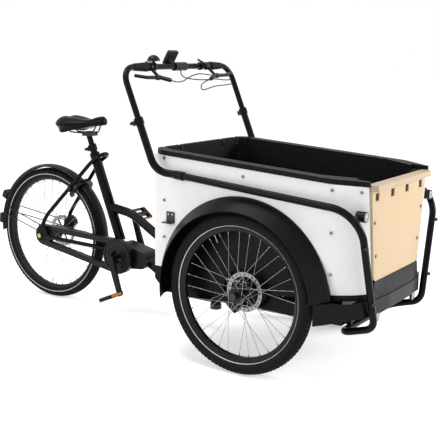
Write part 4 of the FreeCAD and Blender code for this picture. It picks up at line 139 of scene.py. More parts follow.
floor_mesh = bmesh.new()
bmesh.ops.create_grid(floor_mesh, x_segments=1, y_segments=1, size=FLOOR_HALF)
bmesh.ops.translate(floor_mesh, verts=floor_mesh.verts, vec=(0, 0, cad_low.z))
floor_paint = bpy.data.materials.new("floor_white")
floor_paint.use_nodes = True
floor_tree = floor_paint.node_tree
floor_shader = floor_tree.nodes["Principled BSDF"]
floor_shader.inputs["Base Color"].default_value = FLOOR_WHITE
floor_shader.inputs["Roughness"].default_value = 1.0
floor_shader.inputs["Specular IOR Level"].default_value = 0.0
floor_shader.inputs["Emission Color"].default_value = WHITE
floor_glow = worked_out(floor_tree, "MULTIPLY", seen_directly(floor_tree), FLOOR_LIFT)
floor_tree.links.new(floor_glow, floor_shader.inputs["Emission Strength"])
into_scene("floor", floor_mesh, floor_paint)


def soft_box(name, spot, aim, wide, deep, power):
    """A flat lamp panel at a spot, facing a point."""
    lamp = bpy.data.lights.new(name, "AREA")
    lamp.shape = "RECTANGLE"
    lamp.size = wide
    lamp.size_y = deep
    lamp.energy = power
    panel = bpy.data.objects.new(name, lamp)
    towards = Vector(aim) - Vector(spot)
    panel.matrix_world = Matrix.Translation(spot) @ towards.to_track_quat("-Z", "Y").to_matrix().to_4x4()
    bpy.context.scene.collection.objects.link(panel)


soft_box("overhead_box", spot=(-0.4, -0.9, 4.2), aim=(0.0, 0.0, 0.4), wide=3.0, deep=0.9, power=80)
soft_box("side_box", spot=(-1.6, -4.2, 2.2), aim=(0.0, 0.0, 0.5), wide=2.4, deep=1.0, power=52)
soft_box("front_box", spot=(4.2, 2.4, 2.0), aim=(0.8, 0.0, 0.6), wide=1.8, deep=1.4, power=175)

# Rear frame and front chassis: welded steel tubes, blasted and powder coated satin black, with
# the head, stays, dropouts, bumper rail and handlebar in the same coat.
COAT_DARK = (0.0020, 0.0020, 0.0022, 1)
COAT_LIGHT = (0.0042, 0.0042, 0.0045, 1)
GRAINS_TO_DRIFT = 20
DRIFT_DETAIL = 6.0
GRAIN_DETAIL = 3.0
TINT_SPAN = (0.3, 0.72)
POLISH_SPAN = (0.3, 0.7)


def noise(tree, place, scale, detail):
    """A noise texture read at a place."""
    node = tree.nodes.new("ShaderNodeTexNoise")
    node.inputs["Scale"].default_value = scale
    node.inputs["Detail"].default_value = detail
    tree.links.new(place, node.inputs["Vector"])
    return node


def tinted(tree, source, span, dark, light):
    """Output of a ramp from a dark colour to a light one."""
    tint = tree.nodes.new("ShaderNodeValToRGB")
    for stop, position, colour in zip(tint.color_ramp.elements, span, (dark, light)):
        stop.position = position
        stop.color = colour
    tree.links.new(source, tint.inputs["Fac"])
    return tint.outputs["Color"]


def raise_grain(tree, source, strength, relief):
    """Lets a surface rise and fall a little with a texture."""
    bump = tree.nodes.new("ShaderNodeBump")
    bump.inputs["Strength"].default_value = strength
    bump.inputs["Distance"].default_value = relief
    tree.links.new(source, bump.inputs["Height"])
    tree.links.new(bump.outputs["Normal"], tree.nodes["Principled BSDF"].inputs["Normal"])


def finish(name, dark, light, grain, gloss, relief, metal=0.0, sheen=0.5):
    """A surface whose colour and gloss drift slowly, with a fine raised grain, all read in place."""
    made = bpy.data.materials.new(name)
    made.use_nodes = True
    tree = made.node_tree
    shader = tree.nodes["Principled BSDF"]
    shader.inputs["Metallic"].default_value = metal
    shader.inputs["Specular IOR Level"].default_value = sheen
    place = tree.nodes.new("ShaderNodeTexCoord").outputs["Object"]
    drift = noise(tree, place, grain / GRAINS_TO_DRIFT, DRIFT_DETAIL).outputs["Fac"]
    tree.links.new(tinted(tree, drift, TINT_SPAN, dark, light), shader.inputs["Base Color"])
    tree.links.new(rescaled(tree, drift, POLISH_SPAN, gloss), shader.inputs["Roughness"])
    raise_grain(tree, noise(tree, place, grain, GRAIN_DETAIL).outputs["Fac"], 1.0, relief)
    return made


def dress(surface, *names):
    """Gives the frame's own nodes a finish."""
    for name in names:
        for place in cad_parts[name].material_slots:
            place.material = surface


powder_coat = finish("satin_black_coat", dark=COAT_DARK, light=COAT_LIGHT,
                     grain=500.0, gloss=(0.20, 0.27), relief=0.00003, sheen=0.10)
dress(powder_coat, "upper_main_tube", "lower_main_tube", "seat_tube", "chain_stays", "seat_stays",
      "steering_head", "chassis_frame", "bumper_rail", "bar_stanchions", "handlebar", "seat_post")

# Brake hoses and the display's lead: black sheathed hose, out of the two levers and the display's
# mount, looping in front of the bar and into the left handlebar leg.
HOSE_RADIUS = 0.0025
RIGHT_HOSE = [(0.0985, -0.1517, 1.1197), (0.1021, -0.1389, 1.1166), (0.0985, -0.110, 1.111),
              (0.0925, -0.055, 1.112), (0.0845, 0.010, 1.133), (0.0785, 0.080, 1.144),
              (0.0725, 0.150, 1.139), (0.0625, 0.260, 1.129), (0.0512, 0.333, 1.125),
              (0.0512, 0.3822, 1.1290)]
LEFT_HOSE = [(0.0985, 0.1517, 1.1197), (0.1021, 0.1389, 1.1166), (0.0985, 0.111, 1.1105),
             (0.0905, 0.088, 1.097), (0.0862, 0.091, 1.077), (0.0815, 0.118, 1.069),
             (0.0765, 0.165, 1.076), (0.0705, 0.230, 1.085), (0.0670, 0.333, 1.087),
             (0.0670, 0.3822, 1.0910)]
DISPLAY_LEAD = [(0.0325, 0.010, 1.1558), (0.0325, 0.010, 1.1420), (0.0375, 0.026, 1.126),
                (0.0545, 0.080, 1.117), (0.0565, 0.160, 1.113), (0.0565, 0.260, 1.117),
                (0.0587, 0.333, 1.107), (0.0587, 0.3822, 1.1110)]

hose_sheath = finish("hose_sheath", dark=(0.006, 0.006, 0.006, 1), light=(0.013, 0.013, 0.013, 1),
                     grain=1600.0, gloss=(0.4, 0.55), relief=0.00004, sheen=0.2)


def control_hose(name, route):
    """A hose on a smooth curve through its route, from its fitting into the handlebar leg."""
    line = bpy.data.curves.new(name, "CURVE")
    line.dimensions = "3D"
    line.bevel_depth = HOSE_RADIUS
    line.bevel_resolution = 3
    line.resolution_u = 10
    line.use_fill_caps = True
    run = line.splines.new("NURBS")
    run.points.add(len(route) - 1)
    for point, spot in zip(run.points, route):
        point.co = (*spot, 1.0)
    run.order_u = 3
    run.use_endpoint_u = True
    line.materials.append(hose_sheath)
    hose = bpy.data.objects.new(name, line)
    bpy.context.scene.collection.objects.link(hose)
    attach(hose, "bar")
    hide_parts("control_hoses")


control_hose("right_brake_hose", RIGHT_HOSE)
control_hose("left_brake_hose", LEFT_HOSE)
control_hose("display_lead", DISPLAY_LEAD)

# Wheels: black box-section rims laced with bright steel spokes to dark hubs, each with plated
# nipples at the rim, a valve, and a slotted steel brake track on the hub's dark carrier.
FRONT_RIM_BED = 0.2503
REAR_RIM_BED = 0.2703
FRONT_FLANGE = 0.0303
REAR_FLANGE = 0.0343
SPOKE_PAIRS = 8
SPOKE_PHASE = math.radians(0.775)
SPOKE_CROSS = math.radians(67.5)
RIM_SPREAD = 0.0025
FLANGE_SPREAD = 0.028
# Radius and distance from the rim's bed, along a nipple and along the nut, stem and cap of a valve.
NIPPLE_OUTLINE = ((0, 0), (0.0024, 0), (0.0024, 0.0072), (0.0019, 0.012), (0, 0.012))
VALVE_OUTLINE = ((0, 0), (0.0042, 0), (0.0042, 0.004), (0.0024, 0.005), (0.0024, 0.0204),
                 (0.0030, 0.02108), (0.0027, 0.034), (0, 0.034))
NIPPLE_SIDES = 8
VALVE_SIDES = 14
RIGHT_VALVE_ANGLE = math.radians(118)
LEFT_VALVE_ANGLE = math.radians(62)
REAR_VALVE_ANGLE = math.radians(-93.5)
TRACK_INNER = 0.0634
TRACK_SLOT_INNER = 0.0680
TRACK_SLOT_OUTER = 0.0752
TRACK_OUTER = 0.0802
TRACK_THICKNESS = 0.0026
TRACK_STEPS = 96
STEPS_TO_SLOT = 4
FRONT_DISC_IN = 0.040
REAR_DISC_OUT = 0.067
MERGE = 0.00002

rim_coat = finish("rim_black", dark=(0.003, 0.003, 0.003, 1), light=(0.006, 0.006, 0.0063, 1),
                  grain=300.0, gloss=(0.22, 0.30), relief=0.00003, sheen=0.2)
dress(rim_coat, "front_rim_right", "front_rim_left", "rear_rim")
spoke_steel = finish("spoke_steel", dark=(0.20, 0.20, 0.20, 1), light=(0.36, 0.36, 0.355, 1),
                     grain=700.0, gloss=(0.2, 0.32), relief=0.00001, metal=1.0)
dress(spoke_steel, "front_spokes_right", "front_spokes_left", "rear_spokes")
hub_black = finish("hub_black", dark=(0.005, 0.005, 0.0053, 1), light=(0.011, 0.011, 0.0115, 1),
                   grain=400.0, gloss=(0.26, 0.36), relief=0.00003, sheen=0.25)
dress(hub_black, "front_hub_right", "front_hub_left", "rear_hub")
axle_steel = finish("axle_steel", dark=(0.03, 0.03, 0.03, 1), light=(0.07, 0.07, 0.07, 1),
                    grain=500.0, gloss=(0.3, 0.42), relief=0.00002, metal=1.0)
dress(axle_steel, "front_axles")
track_steel = finish("brake_track_steel", dark=(0.24, 0.24, 0.235, 1), light=(0.40, 0.40, 0.395, 1),
                     grain=900.0, gloss=(0.24, 0.38), relief=0.00002, metal=1.0)
nipple_silver = finish("nipple_silver", dark=(0.22, 0.22, 0.21, 1), light=(0.38, 0.38, 0.37, 1),
                       grain=900.0, gloss=(0.25, 0.4), relief=0.00001, metal=1.0)


def outline(points):
    """A bmesh of points joined in a row by edges."""
    mesh = bmesh.new()
    corners = [mesh.verts.new(point) for point in points]
    for first, second in zip(corners, corners[1:]):
        mesh.edges.new((first, second))
    return mesh


def spin_round(mesh, axis, steps):
    """Spins an outline once round an axis through the origin, with its seam and poles closed."""
    bmesh.ops.spin(mesh, geom=mesh.verts[:] + mesh.edges[:], cent=(0, 0, 0), axis=axis,
                   angle=2 * math.pi, steps=steps, use_merge=True)
    bmesh.ops.remove_doubles(mesh, verts=mesh.verts, dist=MERGE)
    bmesh.ops.recalc_face_normals(mesh, faces=mesh.faces)


def step_round(spot, steps):
    """Number of the step, out of a full turn's steps about the Y axis, that a spot lies in."""
    return round((math.atan2(spot.z, spot.x) / (2 * math.pi) + 0.5) * steps - 0.5)


def turned_shape(profile, steps, spot, axis):
    """A turned shape: a profile of radii and distances along an axis, spun about it at a spot."""
    mesh = outline((radius, 0, along) for radius, along in profile)
    spin_round(mesh, (0, 0, 1), steps)
    turn = Vector(axis).to_track_quat("Z", "Y").to_matrix().to_4x4()
    bmesh.ops.transform(mesh, verts=mesh.verts, matrix=Matrix.Translation(spot) @ turn)
    for face in mesh.faces:
        face.smooth = True
    return mesh


def joined(parts):
    """One bmesh of several, which are used up."""
    whole = bmesh.new()
    for part in parts:
        loose = bpy.data.meshes.new("loose")
        part.to_mesh(loose)
        part.free()
        whole.from_mesh(loose)
        bpy.data.meshes.remove(loose)
    return whole


def wheel_centre(tyre_node):
    """Middle of a wheel, from the box of its tyre."""
    low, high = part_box(tyre_node)
    return (low + high) / 2


def wheel_details(name, tyre_node, rim_radius, flange_radius, body, facing, valve_angle):
    """The nipples at the rim's bed, one on each spoke, and the tyre's valve."""
    centre = wheel_centre(tyre_node)
    step = math.pi / SPOKE_PAIRS
    parts = []
    for side in (1, -1):
        for pair in range(SPOKE_PAIRS):
            for lead in (1, -1):
                flange_angle = 2 * step * pair + (step / 2 if side < 0 else 0) + (0 if lead > 0 else step)
                rim_angle = flange_angle + lead * SPOKE_CROSS + SPOKE_PHASE
                flange_angle += SPOKE_PHASE
                rim_spot = Vector((math.cos(rim_angle) * rim_radius, side * RIM_SPREAD,
                                   math.sin(rim_angle) * rim_radius))
                flange_spot = Vector((math.cos(flange_angle) * flange_radius, side * FLANGE_SPREAD,
                                      math.sin(flange_angle) * flange_radius))
                rim_spot.xy *= facing
                flange_spot.xy *= facing
                parts.append(turned_shape(NIPPLE_OUTLINE, NIPPLE_SIDES, centre + rim_spot,
                                          flange_spot - rim_spot))
    out = Vector((math.cos(valve_angle), 0, math.sin(valve_angle)))
    parts.append(turned_shape(VALVE_OUTLINE, VALVE_SIDES, centre + out * rim_radius, -out))
    piece = into_scene(name, joined(parts), nipple_silver)
    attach(piece, body)


def brake_track(name, tyre_node, across, body):
    """The steel track of a brake disc: a flat ring with a row of slots, clasping the hub's carrier."""
    centre = wheel_centre(tyre_node)
    mesh = outline((radius, 0, 0) for radius in
                   (TRACK_INNER, TRACK_SLOT_INNER, TRACK_SLOT_OUTER, TRACK_OUTER))
    spin_round(mesh, (0, 1, 0), TRACK_STEPS)
    slots = []
    for face in mesh.faces:
        spot = face.calc_center_median()
        in_row = TRACK_SLOT_INNER < math.hypot(spot.x, spot.z) < TRACK_SLOT_OUTER
        if in_row and step_round(spot, TRACK_STEPS) % STEPS_TO_SLOT == 0:
            slots.append(face)
    bmesh.ops.delete(mesh, geom=slots, context="FACES")
    bmesh.ops.recalc_face_normals(mesh, faces=mesh.faces)
    bmesh.ops.solidify(mesh, geom=mesh.faces[:], thickness=TRACK_THICKNESS)
    ys = [corner.co.y for corner in mesh.verts]
    middle_y = (min(ys) + max(ys)) / 2
    bmesh.ops.recalc_face_normals(mesh, faces=mesh.faces)
    bmesh.ops.translate(mesh, verts=mesh.verts, vec=(centre.x, across - middle_y, centre.z))
    piece = into_scene(name, mesh, track_steel)
    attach(piece, body)


wheel_details("front_nipples_right", "front_tyre_right", FRONT_RIM_BED, FRONT_FLANGE,
              "front_wheel_right", 1, RIGHT_VALVE_ANGLE)
wheel_details("front_nipples_left", "front_tyre_left", FRONT_RIM_BED, FRONT_FLANGE,
              "front_wheel_left", -1, LEFT_VALVE_ANGLE)
wheel_details("rear_nipples", "rear_tyre", REAR_RIM_BED, REAR_FLANGE, "rear_wheel", 1, REAR_VALVE_ANGLE)
front_disc_place = -wheel_centre("front_tyre_right").y - FRONT_DISC_IN
brake_track("front_brake_track_right", "front_tyre_right", -front_disc_place, "front_wheel_right")
brake_track("front_brake_track_left", "front_tyre_left", front_disc_place, "front_wheel_left")
brake_track("rear_brake_track", "rear_tyre", REAR_DISC_OUT, "rear_wheel")

# Tyres: moulded black rubber over a cord casing, with a band of small tread blocks and a thin
# reflecting silver stripe on each sidewall.
TREAD_DEPTH = 0.0026
TREAD_HALF_ANGLE = math.radians(80)
TREAD_STEPS = 312
BLOCK_STEPS = 3
BLOCK_ROWS = 3
SECTION_SEGMENTS = 44
BLOCK_DRAFT = 0.0008
SEAT_CLEARANCE = 0.0003
SEAT_MERGE = 0.00005
SIDEWALL_SHARE = 0.1
FRONT_STRIPE_RADIUS = 0.2707
REAR_STRIPE_RADIUS = 0.3000

tyre_rubber = finish("tyre_rubber", dark=(0.004, 0.004, 0.0043, 1), light=(0.009, 0.009, 0.0095, 1),
                     grain=900.0, gloss=(0.46, 0.62), relief=0.00012, sheen=0.09)
stripe_silver = finish("sidewall_stripe", dark=(0.34, 0.34, 0.34, 1), light=(0.50, 0.50, 0.50, 1),
                       grain=900.0, gloss=(0.35, 0.5), relief=0.00003, metal=0.6)


def treaded_tyre(name, node, rim_node, body, stripe_radius):
    """A tyre on its rim: a spun section with a flat seat, tread blocks raised on it, and its stripes."""
    low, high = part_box(node)
    centre = (low + high) / 2
    radius = (high.z - low.z) / 2
    section = (high.y - low.y) / 2
    rim_low, rim_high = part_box(rim_node)
    seat = (rim_high.z - rim_low.z) / 2 + SEAT_CLEARANCE
    ring = radius - section
    mesh = bmesh.new()
    bmesh.ops.create_circle(mesh, segments=SECTION_SEGMENTS, radius=section,
                            matrix=Matrix.Rotation(math.pi / SECTION_SEGMENTS, 4, "Z"))
    squeeze = (section - TREAD_DEPTH) / section
    for corner in mesh.verts:
        if corner.co.x > 0:
            corner.co.x *= squeeze
        corner.co.x = max(corner.co.x + ring, seat)
    bmesh.ops.remove_doubles(mesh, verts=mesh.verts, dist=SEAT_MERGE)
    spin_round(mesh, (0, 1, 0), TREAD_STEPS)
    blocks = []
    stripe_lean = math.acos((stripe_radius - ring) / section)
    row_angle = 2 * math.pi / SECTION_SEGMENTS
    for face in mesh.faces:
        spot = face.calc_center_median()
        lean = math.atan2(abs(spot.y), math.hypot(spot.x, spot.z) - ring)
        row = int(math.copysign(lean, spot.y) / row_angle + SECTION_SEGMENTS)
        step = step_round(spot, TREAD_STEPS) + row // BLOCK_ROWS % 2
        in_block = row % BLOCK_ROWS < BLOCK_ROWS - 1 and step % BLOCK_STEPS < BLOCK_STEPS - 1
        if abs(lean - stripe_lean) < row_angle / 2:
            face.material_index = 1
        elif lean < TREAD_HALF_ANGLE and in_block:
            blocks.append(face)
    bmesh.ops.inset_region(mesh, faces=blocks, thickness=BLOCK_DRAFT, depth=TREAD_DEPTH,
                           use_even_offset=True)
    for face in mesh.faces:
        middle = face.calc_center_median()
        face.smooth = math.hypot(middle.x, middle.z) < ring + section * SIDEWALL_SHARE
    bmesh.ops.translate(mesh, verts=mesh.verts, vec=centre)
    tyre = into_scene(name, mesh, tyre_rubber, stripe_silver)
    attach(tyre, body)
    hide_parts(node)


treaded_tyre("treaded_front_tyre_right", "front_tyre_right", "front_rim_right", "front_wheel_right",
             FRONT_STRIPE_RADIUS)
treaded_tyre("treaded_front_tyre_left", "front_tyre_left", "front_rim_left", "front_wheel_left",
             FRONT_STRIPE_RADIUS)
treaded_tyre("treaded_rear_tyre", "rear_tyre", "rear_rim", "rear_wheel", REAR_STRIPE_RADIUS)

# Drive: cast motor housing, chain case with raised rings round the cranks, steel chain and sprocket,
# with the brake calipers, clamp levers and ring lock in the same black casting.
CRANK_AXLE = Vector((-0.2745, 0, 0.283))
# Outer and inner radius of each ring.
CASE_RINGS = ((0.0795, 0.0715), (0.0530, 0.0480), (0.0385, 0.0325))
RING_PROUD = 0.003
RING_SHOULDER = 0.0018
RING_EDGE = 0.0012
RING_SINK = 0.0004
RING_SIDES = 72

casting = finish("black_casting", dark=(0.0025, 0.0025, 0.0027, 1), light=(0.006, 0.006, 0.0063, 1),
                 grain=800.0, gloss=(0.30, 0.42), relief=0.00006, sheen=0.17)
dress(casting, "motor_housing", "crankset", "front_brake_calipers", "rear_brake_caliper",
      "bar_clamp_lever_right", "bar_clamp_lever_left", "seat_clamp_lever", "ring_lock_body")
case_moulding = finish("chain_case_black", dark=(0.004, 0.004, 0.0043, 1), light=(0.009, 0.009, 0.0094, 1),
                       grain=1400.0, gloss=(0.34, 0.46), relief=0.0001, sheen=0.19)
dress(case_moulding, "chain_case")
case_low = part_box("chain_case")[0]
rings = []
for outer, inner in CASE_RINGS:
    profile = [(inner, -RING_SINK), (inner, RING_SHOULDER), (inner + RING_EDGE, RING_PROUD),
               (outer - RING_EDGE, RING_PROUD), (outer, RING_SHOULDER), (outer, -RING_SINK),
               (inner, -RING_SINK)]
    rings.append(turned_shape(profile, RING_SIDES, (CRANK_AXLE.x, case_low.y, CRANK_AXLE.z), (0, -1, 0)))
raised_rings = into_scene("case_rings", joined(rings), casting)
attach(raised_rings, "rear_frame")
chain_steel = finish("chain_steel", dark=(0.20, 0.20, 0.20, 1), light=(0.42, 0.42, 0.41, 1),
                     grain=900.0, gloss=(0.3, 0.45), relief=0.00002, metal=1.0)
dress(chain_steel, "rear_sprocket", "drive_chain", "lock_shackle", "lock_key")
axle_brass = finish("axle_brass", dark=(0.50, 0.36, 0.16, 1), light=(0.66, 0.50, 0.26, 1),
                    grain=500.0, gloss=(0.28, 0.4), relief=0.00002, metal=1.0)
dress(axle_brass, "rear_axle")

# Pedals: moulded black plastic cages that turn on the cranks' spindles, each with an amber
# reflector fixed on its front and back faces.
RIGHT_PEDAL_TIP = (-0.22197, 0, 0.12132)
LEFT_PEDAL_TIP = (-0.32703, 0, 0.44468)
RIGHT_PEDAL_TILT = math.radians(24)
LEFT_PEDAL_TILT = math.radians(-38)
PEDAL_HALF_LENGTH = 0.034
PEDAL_MIDDLE = 0.180
REFLECTOR_HALF_WIDTH = 0.034
REFLECTOR_HALF_HEIGHT = 0.0062
REFLECTOR_THICKNESS = 0.0022
REFLECTOR_EDGE = 0.0008

moulding = finish("moulded_black", dark=(0.0035, 0.0035, 0.0038, 1), light=(0.008, 0.008, 0.0084, 1),
                  grain=1400.0, gloss=(0.36, 0.5), relief=0.0001, sheen=0.17)
amber = finish("amber_reflector", dark=(0.80, 0.22, 0.01, 1), light=(0.95, 0.34, 0.02, 1),
               grain=1500.0, gloss=(0.12, 0.2), relief=0.0003)
dress(moulding, "pedal_right", "pedal_left")


def soft_edged_box(low, high, edge, segments=2):
    """A box between two corners with rounded edges."""
    low = Vector(low)
    high = Vector(high)
    mesh = bmesh.new()
    bmesh.ops.create_cube(mesh, size=1.0)
    bmesh.ops.scale(mesh, verts=mesh.verts, vec=high - low)
    bmesh.ops.translate(mesh, verts=mesh.verts, vec=(low + high) / 2)
    bmesh.ops.bevel(mesh, geom=mesh.edges[:], offset=edge, segments=segments, profile=0.5, affect="EDGES",
                    material=-1)
    return mesh


def pedal_reflectors(name, body, tip, side, tilt):
    """The two amber strips of a pedal, turned with its cage about the spindle."""
    parts = []
    for facing in (1, -1):
        near = facing * PEDAL_HALF_LENGTH
        far = facing * (PEDAL_HALF_LENGTH + REFLECTOR_THICKNESS)
        across = side * PEDAL_MIDDLE
        low = (min(near, far), across - REFLECTOR_HALF_WIDTH, -REFLECTOR_HALF_HEIGHT)
        high = (max(near, far), across + REFLECTOR_HALF_WIDTH, REFLECTOR_HALF_HEIGHT)
        parts.append(soft_edged_box(low, high, REFLECTOR_EDGE))
    mesh = joined(parts)
    place = Matrix.Translation(tip) @ Matrix.Rotation(-tilt, 4, "Y")
    bmesh.ops.transform(mesh, verts=mesh.verts, matrix=place)
    piece = into_scene(name, mesh, amber)
    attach(piece, body)


pedal_reflectors("pedal_reflectors_right", "right_pedal", RIGHT_PEDAL_TIP, -1, RIGHT_PEDAL_TILT)
pedal_reflectors("pedal_reflectors_left", "left_pedal", LEFT_PEDAL_TIP, 1, LEFT_PEDAL_TILT)

# Rear mudguard and lamps: a moulded guard on wire stays, with a red lamp and a red reflector in
# black housings seated on its crown.
REAR_AXLE = Vector((-0.7515, 0, 0.3295))
RED_DARK = (0.22, 0.004, 0.004, 1)
RED_LIGHT = (0.42, 0.012, 0.010, 1)
GUARD_CROWN = 0.3475
TAIL_EDGE = 0.005
LENS_RIM = 0.003
LENS_SINK = 0.0008

dress(moulding, "rear_mudguard")
red_lens = finish("red_lens", dark=RED_DARK, light=RED_LIGHT, grain=1500.0, gloss=(0.08, 0.14),
                  relief=0.0004)


def tail_box(outer, half_width, half_height, angle):
    """A housing standing out from the mudguard at an angle round the axle, its outer face a sunk lens."""
    mesh = soft_edged_box((GUARD_CROWN, -half_width, -half_height), (outer, half_width, half_height),
                          TAIL_EDGE, segments=3)
    lens = max(mesh.faces, key=lambda face: face.calc_center_median().x)
    bmesh.ops.inset_individual(mesh, faces=[lens], thickness=LENS_RIM, depth=-LENS_SINK)
    lens.material_index = 1
    place = Matrix.Translation(REAR_AXLE) @ Matrix.Rotation(-angle, 4, "Y")
    bmesh.ops.transform(mesh, verts=mesh.verts, matrix=place)
    return mesh


rear_lights = into_scene("rear_lights", joined([
    tail_box(outer=0.3800, half_width=0.024, half_height=0.020, angle=math.radians(153)),
    tail_box(outer=0.3730, half_width=0.022, half_height=0.026, angle=math.radians(174)),
]), moulding, red_lens)
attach(rear_lights, "rear_frame")
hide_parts("rear_lamp")

# Saddle: moulded foam under a tight black leatherette cover, with two lobes, a pressed channel
# down the middle and a tucked lower edge, on wire rails clamped to the post.
SADDLE_SHRINK = 0.0025
SADDLE_VOXEL = 0.0045
SADDLE_PRESSURE = 4.0
SADDLE_FRAMES = 20
SADDLE_CAP = 0.005
SADDLE_MERGE = 0.00001
HELD_FACING = -0.2
PEBBLE_SCALE = 480.0
LOBE_RISE = 0.010
LOBE_MIDDLE = 0.052
LOBE_WIDTH = 0.042
NOSE_RISE = 0.008
CHANNEL_DEPTH = 0.009
CHANNEL_HALF_WIDTH = 0.016
TUCK_LEVEL = 0.885
TUCK_RUN = 0.014
TUCK_DEPTH = 0.012
TUCK_SHARE = 0.16
TOP_SETTLE = 0.003
EASE_TURNS = 7
EASE_SHARE = 0.5
# The lower edge: its share of the length back from the nose, and its height.
HEM = ((0.0, 0.898), (0.1, 0.886), (0.3, 0.879), (0.5, 0.861), (0.72, 0.842), (0.9, 0.840), (1.0, 0.877))
HEM_RISE = 0.0075
NOSE_DROP = 0.012
# Shares of the length back from the nose, over which each form comes in or goes out.
HEM_SPAN = (0.35, 0.6)
LOBE_SPAN = (0.35, 0.68)
LOBE_END_SPAN = (0.93, 1.03)
NOSE_SPAN = (0.08, 0.36)
CHANNEL_SPAN = (0.16, 0.4)
TUCK_SPAN = (0.3, 0.6)
TAIL_SPAN = (0.7, 1.0)
# How far upwards a place faces, from not moved to fully moved.
FACING_SPAN = (0.2, 0.8)

rail_steel = finish("saddle_rail_black", dark=(0.006, 0.006, 0.006, 1), light=(0.014, 0.014, 0.014, 1),
                    grain=500.0, gloss=(0.3, 0.4), relief=0.00002, sheen=0.3)
dress(rail_steel, "saddle_rails")


def leatherette():
    """Black coated cloth: a pebbled grain over slow changes of colour and gloss."""
    made = finish("saddle_leatherette", dark=(0.002, 0.002, 0.0021, 1), light=(0.004, 0.004, 0.0042, 1),
                  grain=420.0, gloss=(0.26, 0.34), relief=0.00003, sheen=0.08)
    tree = made.node_tree
    pebbles = tree.nodes.new("ShaderNodeTexVoronoi")
    pebbles.feature = "SMOOTH_F1"
    pebbles.inputs["Scale"].default_value = PEBBLE_SCALE
    tree.links.new(tree.nodes["Texture Coordinate"].outputs["Object"], pebbles.inputs["Vector"])
    tree.links.new(pebbles.outputs["Distance"], tree.nodes["Bump"].inputs["Height"])
    return made


def voxel_skin(name, source, shrink, voxel):
    """A closed even skin of a solid, drawn in a little all round."""
    mesh = bmesh.new()
    mesh.from_mesh(source.data)
    bmesh.ops.remove_doubles(mesh, verts=mesh.verts, dist=SADDLE_MERGE)
    low = Vector([min(corner.co[i] for corner in mesh.verts) for i in range(3)])
    high = Vector([max(corner.co[i] for corner in mesh.verts) for i in range(3)])
    middle = (low + high) / 2
    factor = Vector([1 - 2 * shrink / (high[i] - low[i]) for i in range(3)])
    bmesh.ops.scale(mesh, verts=mesh.verts, vec=factor, space=Matrix.Translation(-middle))
    skin = into_scene(name, mesh)
    remesh = skin.modifiers.new("even_skin", "REMESH")
    remesh.mode = "VOXEL"
    remesh.voxel_size = voxel
    even = bpy.data.meshes.new_from_object(skin.evaluated_get(bpy.context.evaluated_depsgraph_get()))
    skin.modifiers.remove(remesh)
    skin.data = even
    return skin


def puff_up(pad, held, pressure, frames, cap):
    """Swells a pad's cover by air pressure, with some points held, no point moving more than the cap."""
    group = pad.vertex_groups.new(name="held")
    group.add(held, 1.0, "REPLACE")
    start = [corner.co.copy() for corner in pad.data.vertices]
    cover = pad.modifiers.new("cover", "CLOTH")
    cover.settings.use_pressure = True
    cover.settings.uniform_pressure_force = pressure
    cover.settings.effector_weights.gravity = 0.0
    cover.settings.vertex_group_mass = "held"
    for number in range(1, frames + 1):
        bpy.context.scene.frame_set(number)
    swollen = bpy.data.meshes.new_from_object(pad.evaluated_get(bpy.context.evaluated_depsgraph_get()))
    pad.modifiers.remove(cover)
    for corner, first, last in zip(pad.data.vertices, start, swollen.vertices):
        shift = last.co - first
        if shift.length > cap:
            shift.length = cap
        corner.co = first + shift
    bpy.context.scene.frame_set(1)
    bpy.data.meshes.remove(swollen)
    pad.vertex_groups.remove(group)


def smooth_step(span, value):
    """Share from nought to one that a value has gone through a span, starting and ending gently."""
    share = min(max((value - span[0]) / (span[1] - span[0]), 0.0), 1.0)
    return share * share * (3 - 2 * share)


def hem_level(back):
    """Height of the cover's turned hem at a share of the length back from the nose."""
    back = min(max(back, 0.0), 1.0)
    behind_nose = smooth_step(HEM_SPAN, back)
    for (front, front_level), (rear, rear_level) in zip(HEM, HEM[1:]):
        if back <= rear:
            share = (back - front) / (rear - front)
            rise = HEM_RISE * behind_nose - NOSE_DROP * (1 - behind_nose)
            return front_level + (rear_level - front_level) * share + rise


saddle_low, saddle_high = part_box("saddle")
saddle_length = saddle_high.x - saddle_low.x
saddle = voxel_skin("saddle_cover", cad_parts["saddle"], SADDLE_SHRINK, SADDLE_VOXEL)
for corner in saddle.data.vertices:
    corner.co.z = max(corner.co.z, hem_level((saddle_high.x - corner.co.x) / saddle_length))
under = [corner.index for corner in saddle.data.vertices if corner.normal.z < HELD_FACING]
puff_up(saddle, under, SADDLE_PRESSURE, SADDLE_FRAMES, SADDLE_CAP)
for corner in saddle.data.vertices:
    back = (saddle_high.x - corner.co.x) / saddle_length
    facing_up = smooth_step(FACING_SPAN, corner.normal.z)
    wide = smooth_step(LOBE_SPAN, back) * (1 - smooth_step(LOBE_END_SPAN, back))
    lobe = math.exp(-((abs(corner.co.y) - LOBE_MIDDLE) / LOBE_WIDTH) ** 2) * wide
    nose = 1 - smooth_step(NOSE_SPAN, back)
    channel = math.exp(-(corner.co.y / CHANNEL_HALF_WIDTH) ** 2) * smooth_step(CHANNEL_SPAN, back)
    corner.co.z += facing_up * (LOBE_RISE * lobe + NOSE_RISE * nose - CHANNEL_DEPTH * channel - TOP_SETTLE)
    low_down = smooth_step((TUCK_LEVEL, TUCK_LEVEL - TUCK_RUN), corner.co.z)
    tuck = low_down * smooth_step(TUCK_SPAN, back)
    corner.co.y *= 1 - TUCK_SHARE * tuck
    corner.co.x += TUCK_DEPTH * tuck * smooth_step(TAIL_SPAN, back)
eased = bmesh.new()
eased.from_mesh(saddle.data)
for turn in range(EASE_TURNS):
    bmesh.ops.smooth_vert(eased, verts=eased.verts, factor=EASE_SHARE, use_axis_x=True, use_axis_y=True,
                          use_axis_z=True)
eased.to_mesh(saddle.data)
eased.free()
saddle.data.materials.append(leatherette())
for face in saddle.data.polygons:
    face.use_smooth = True
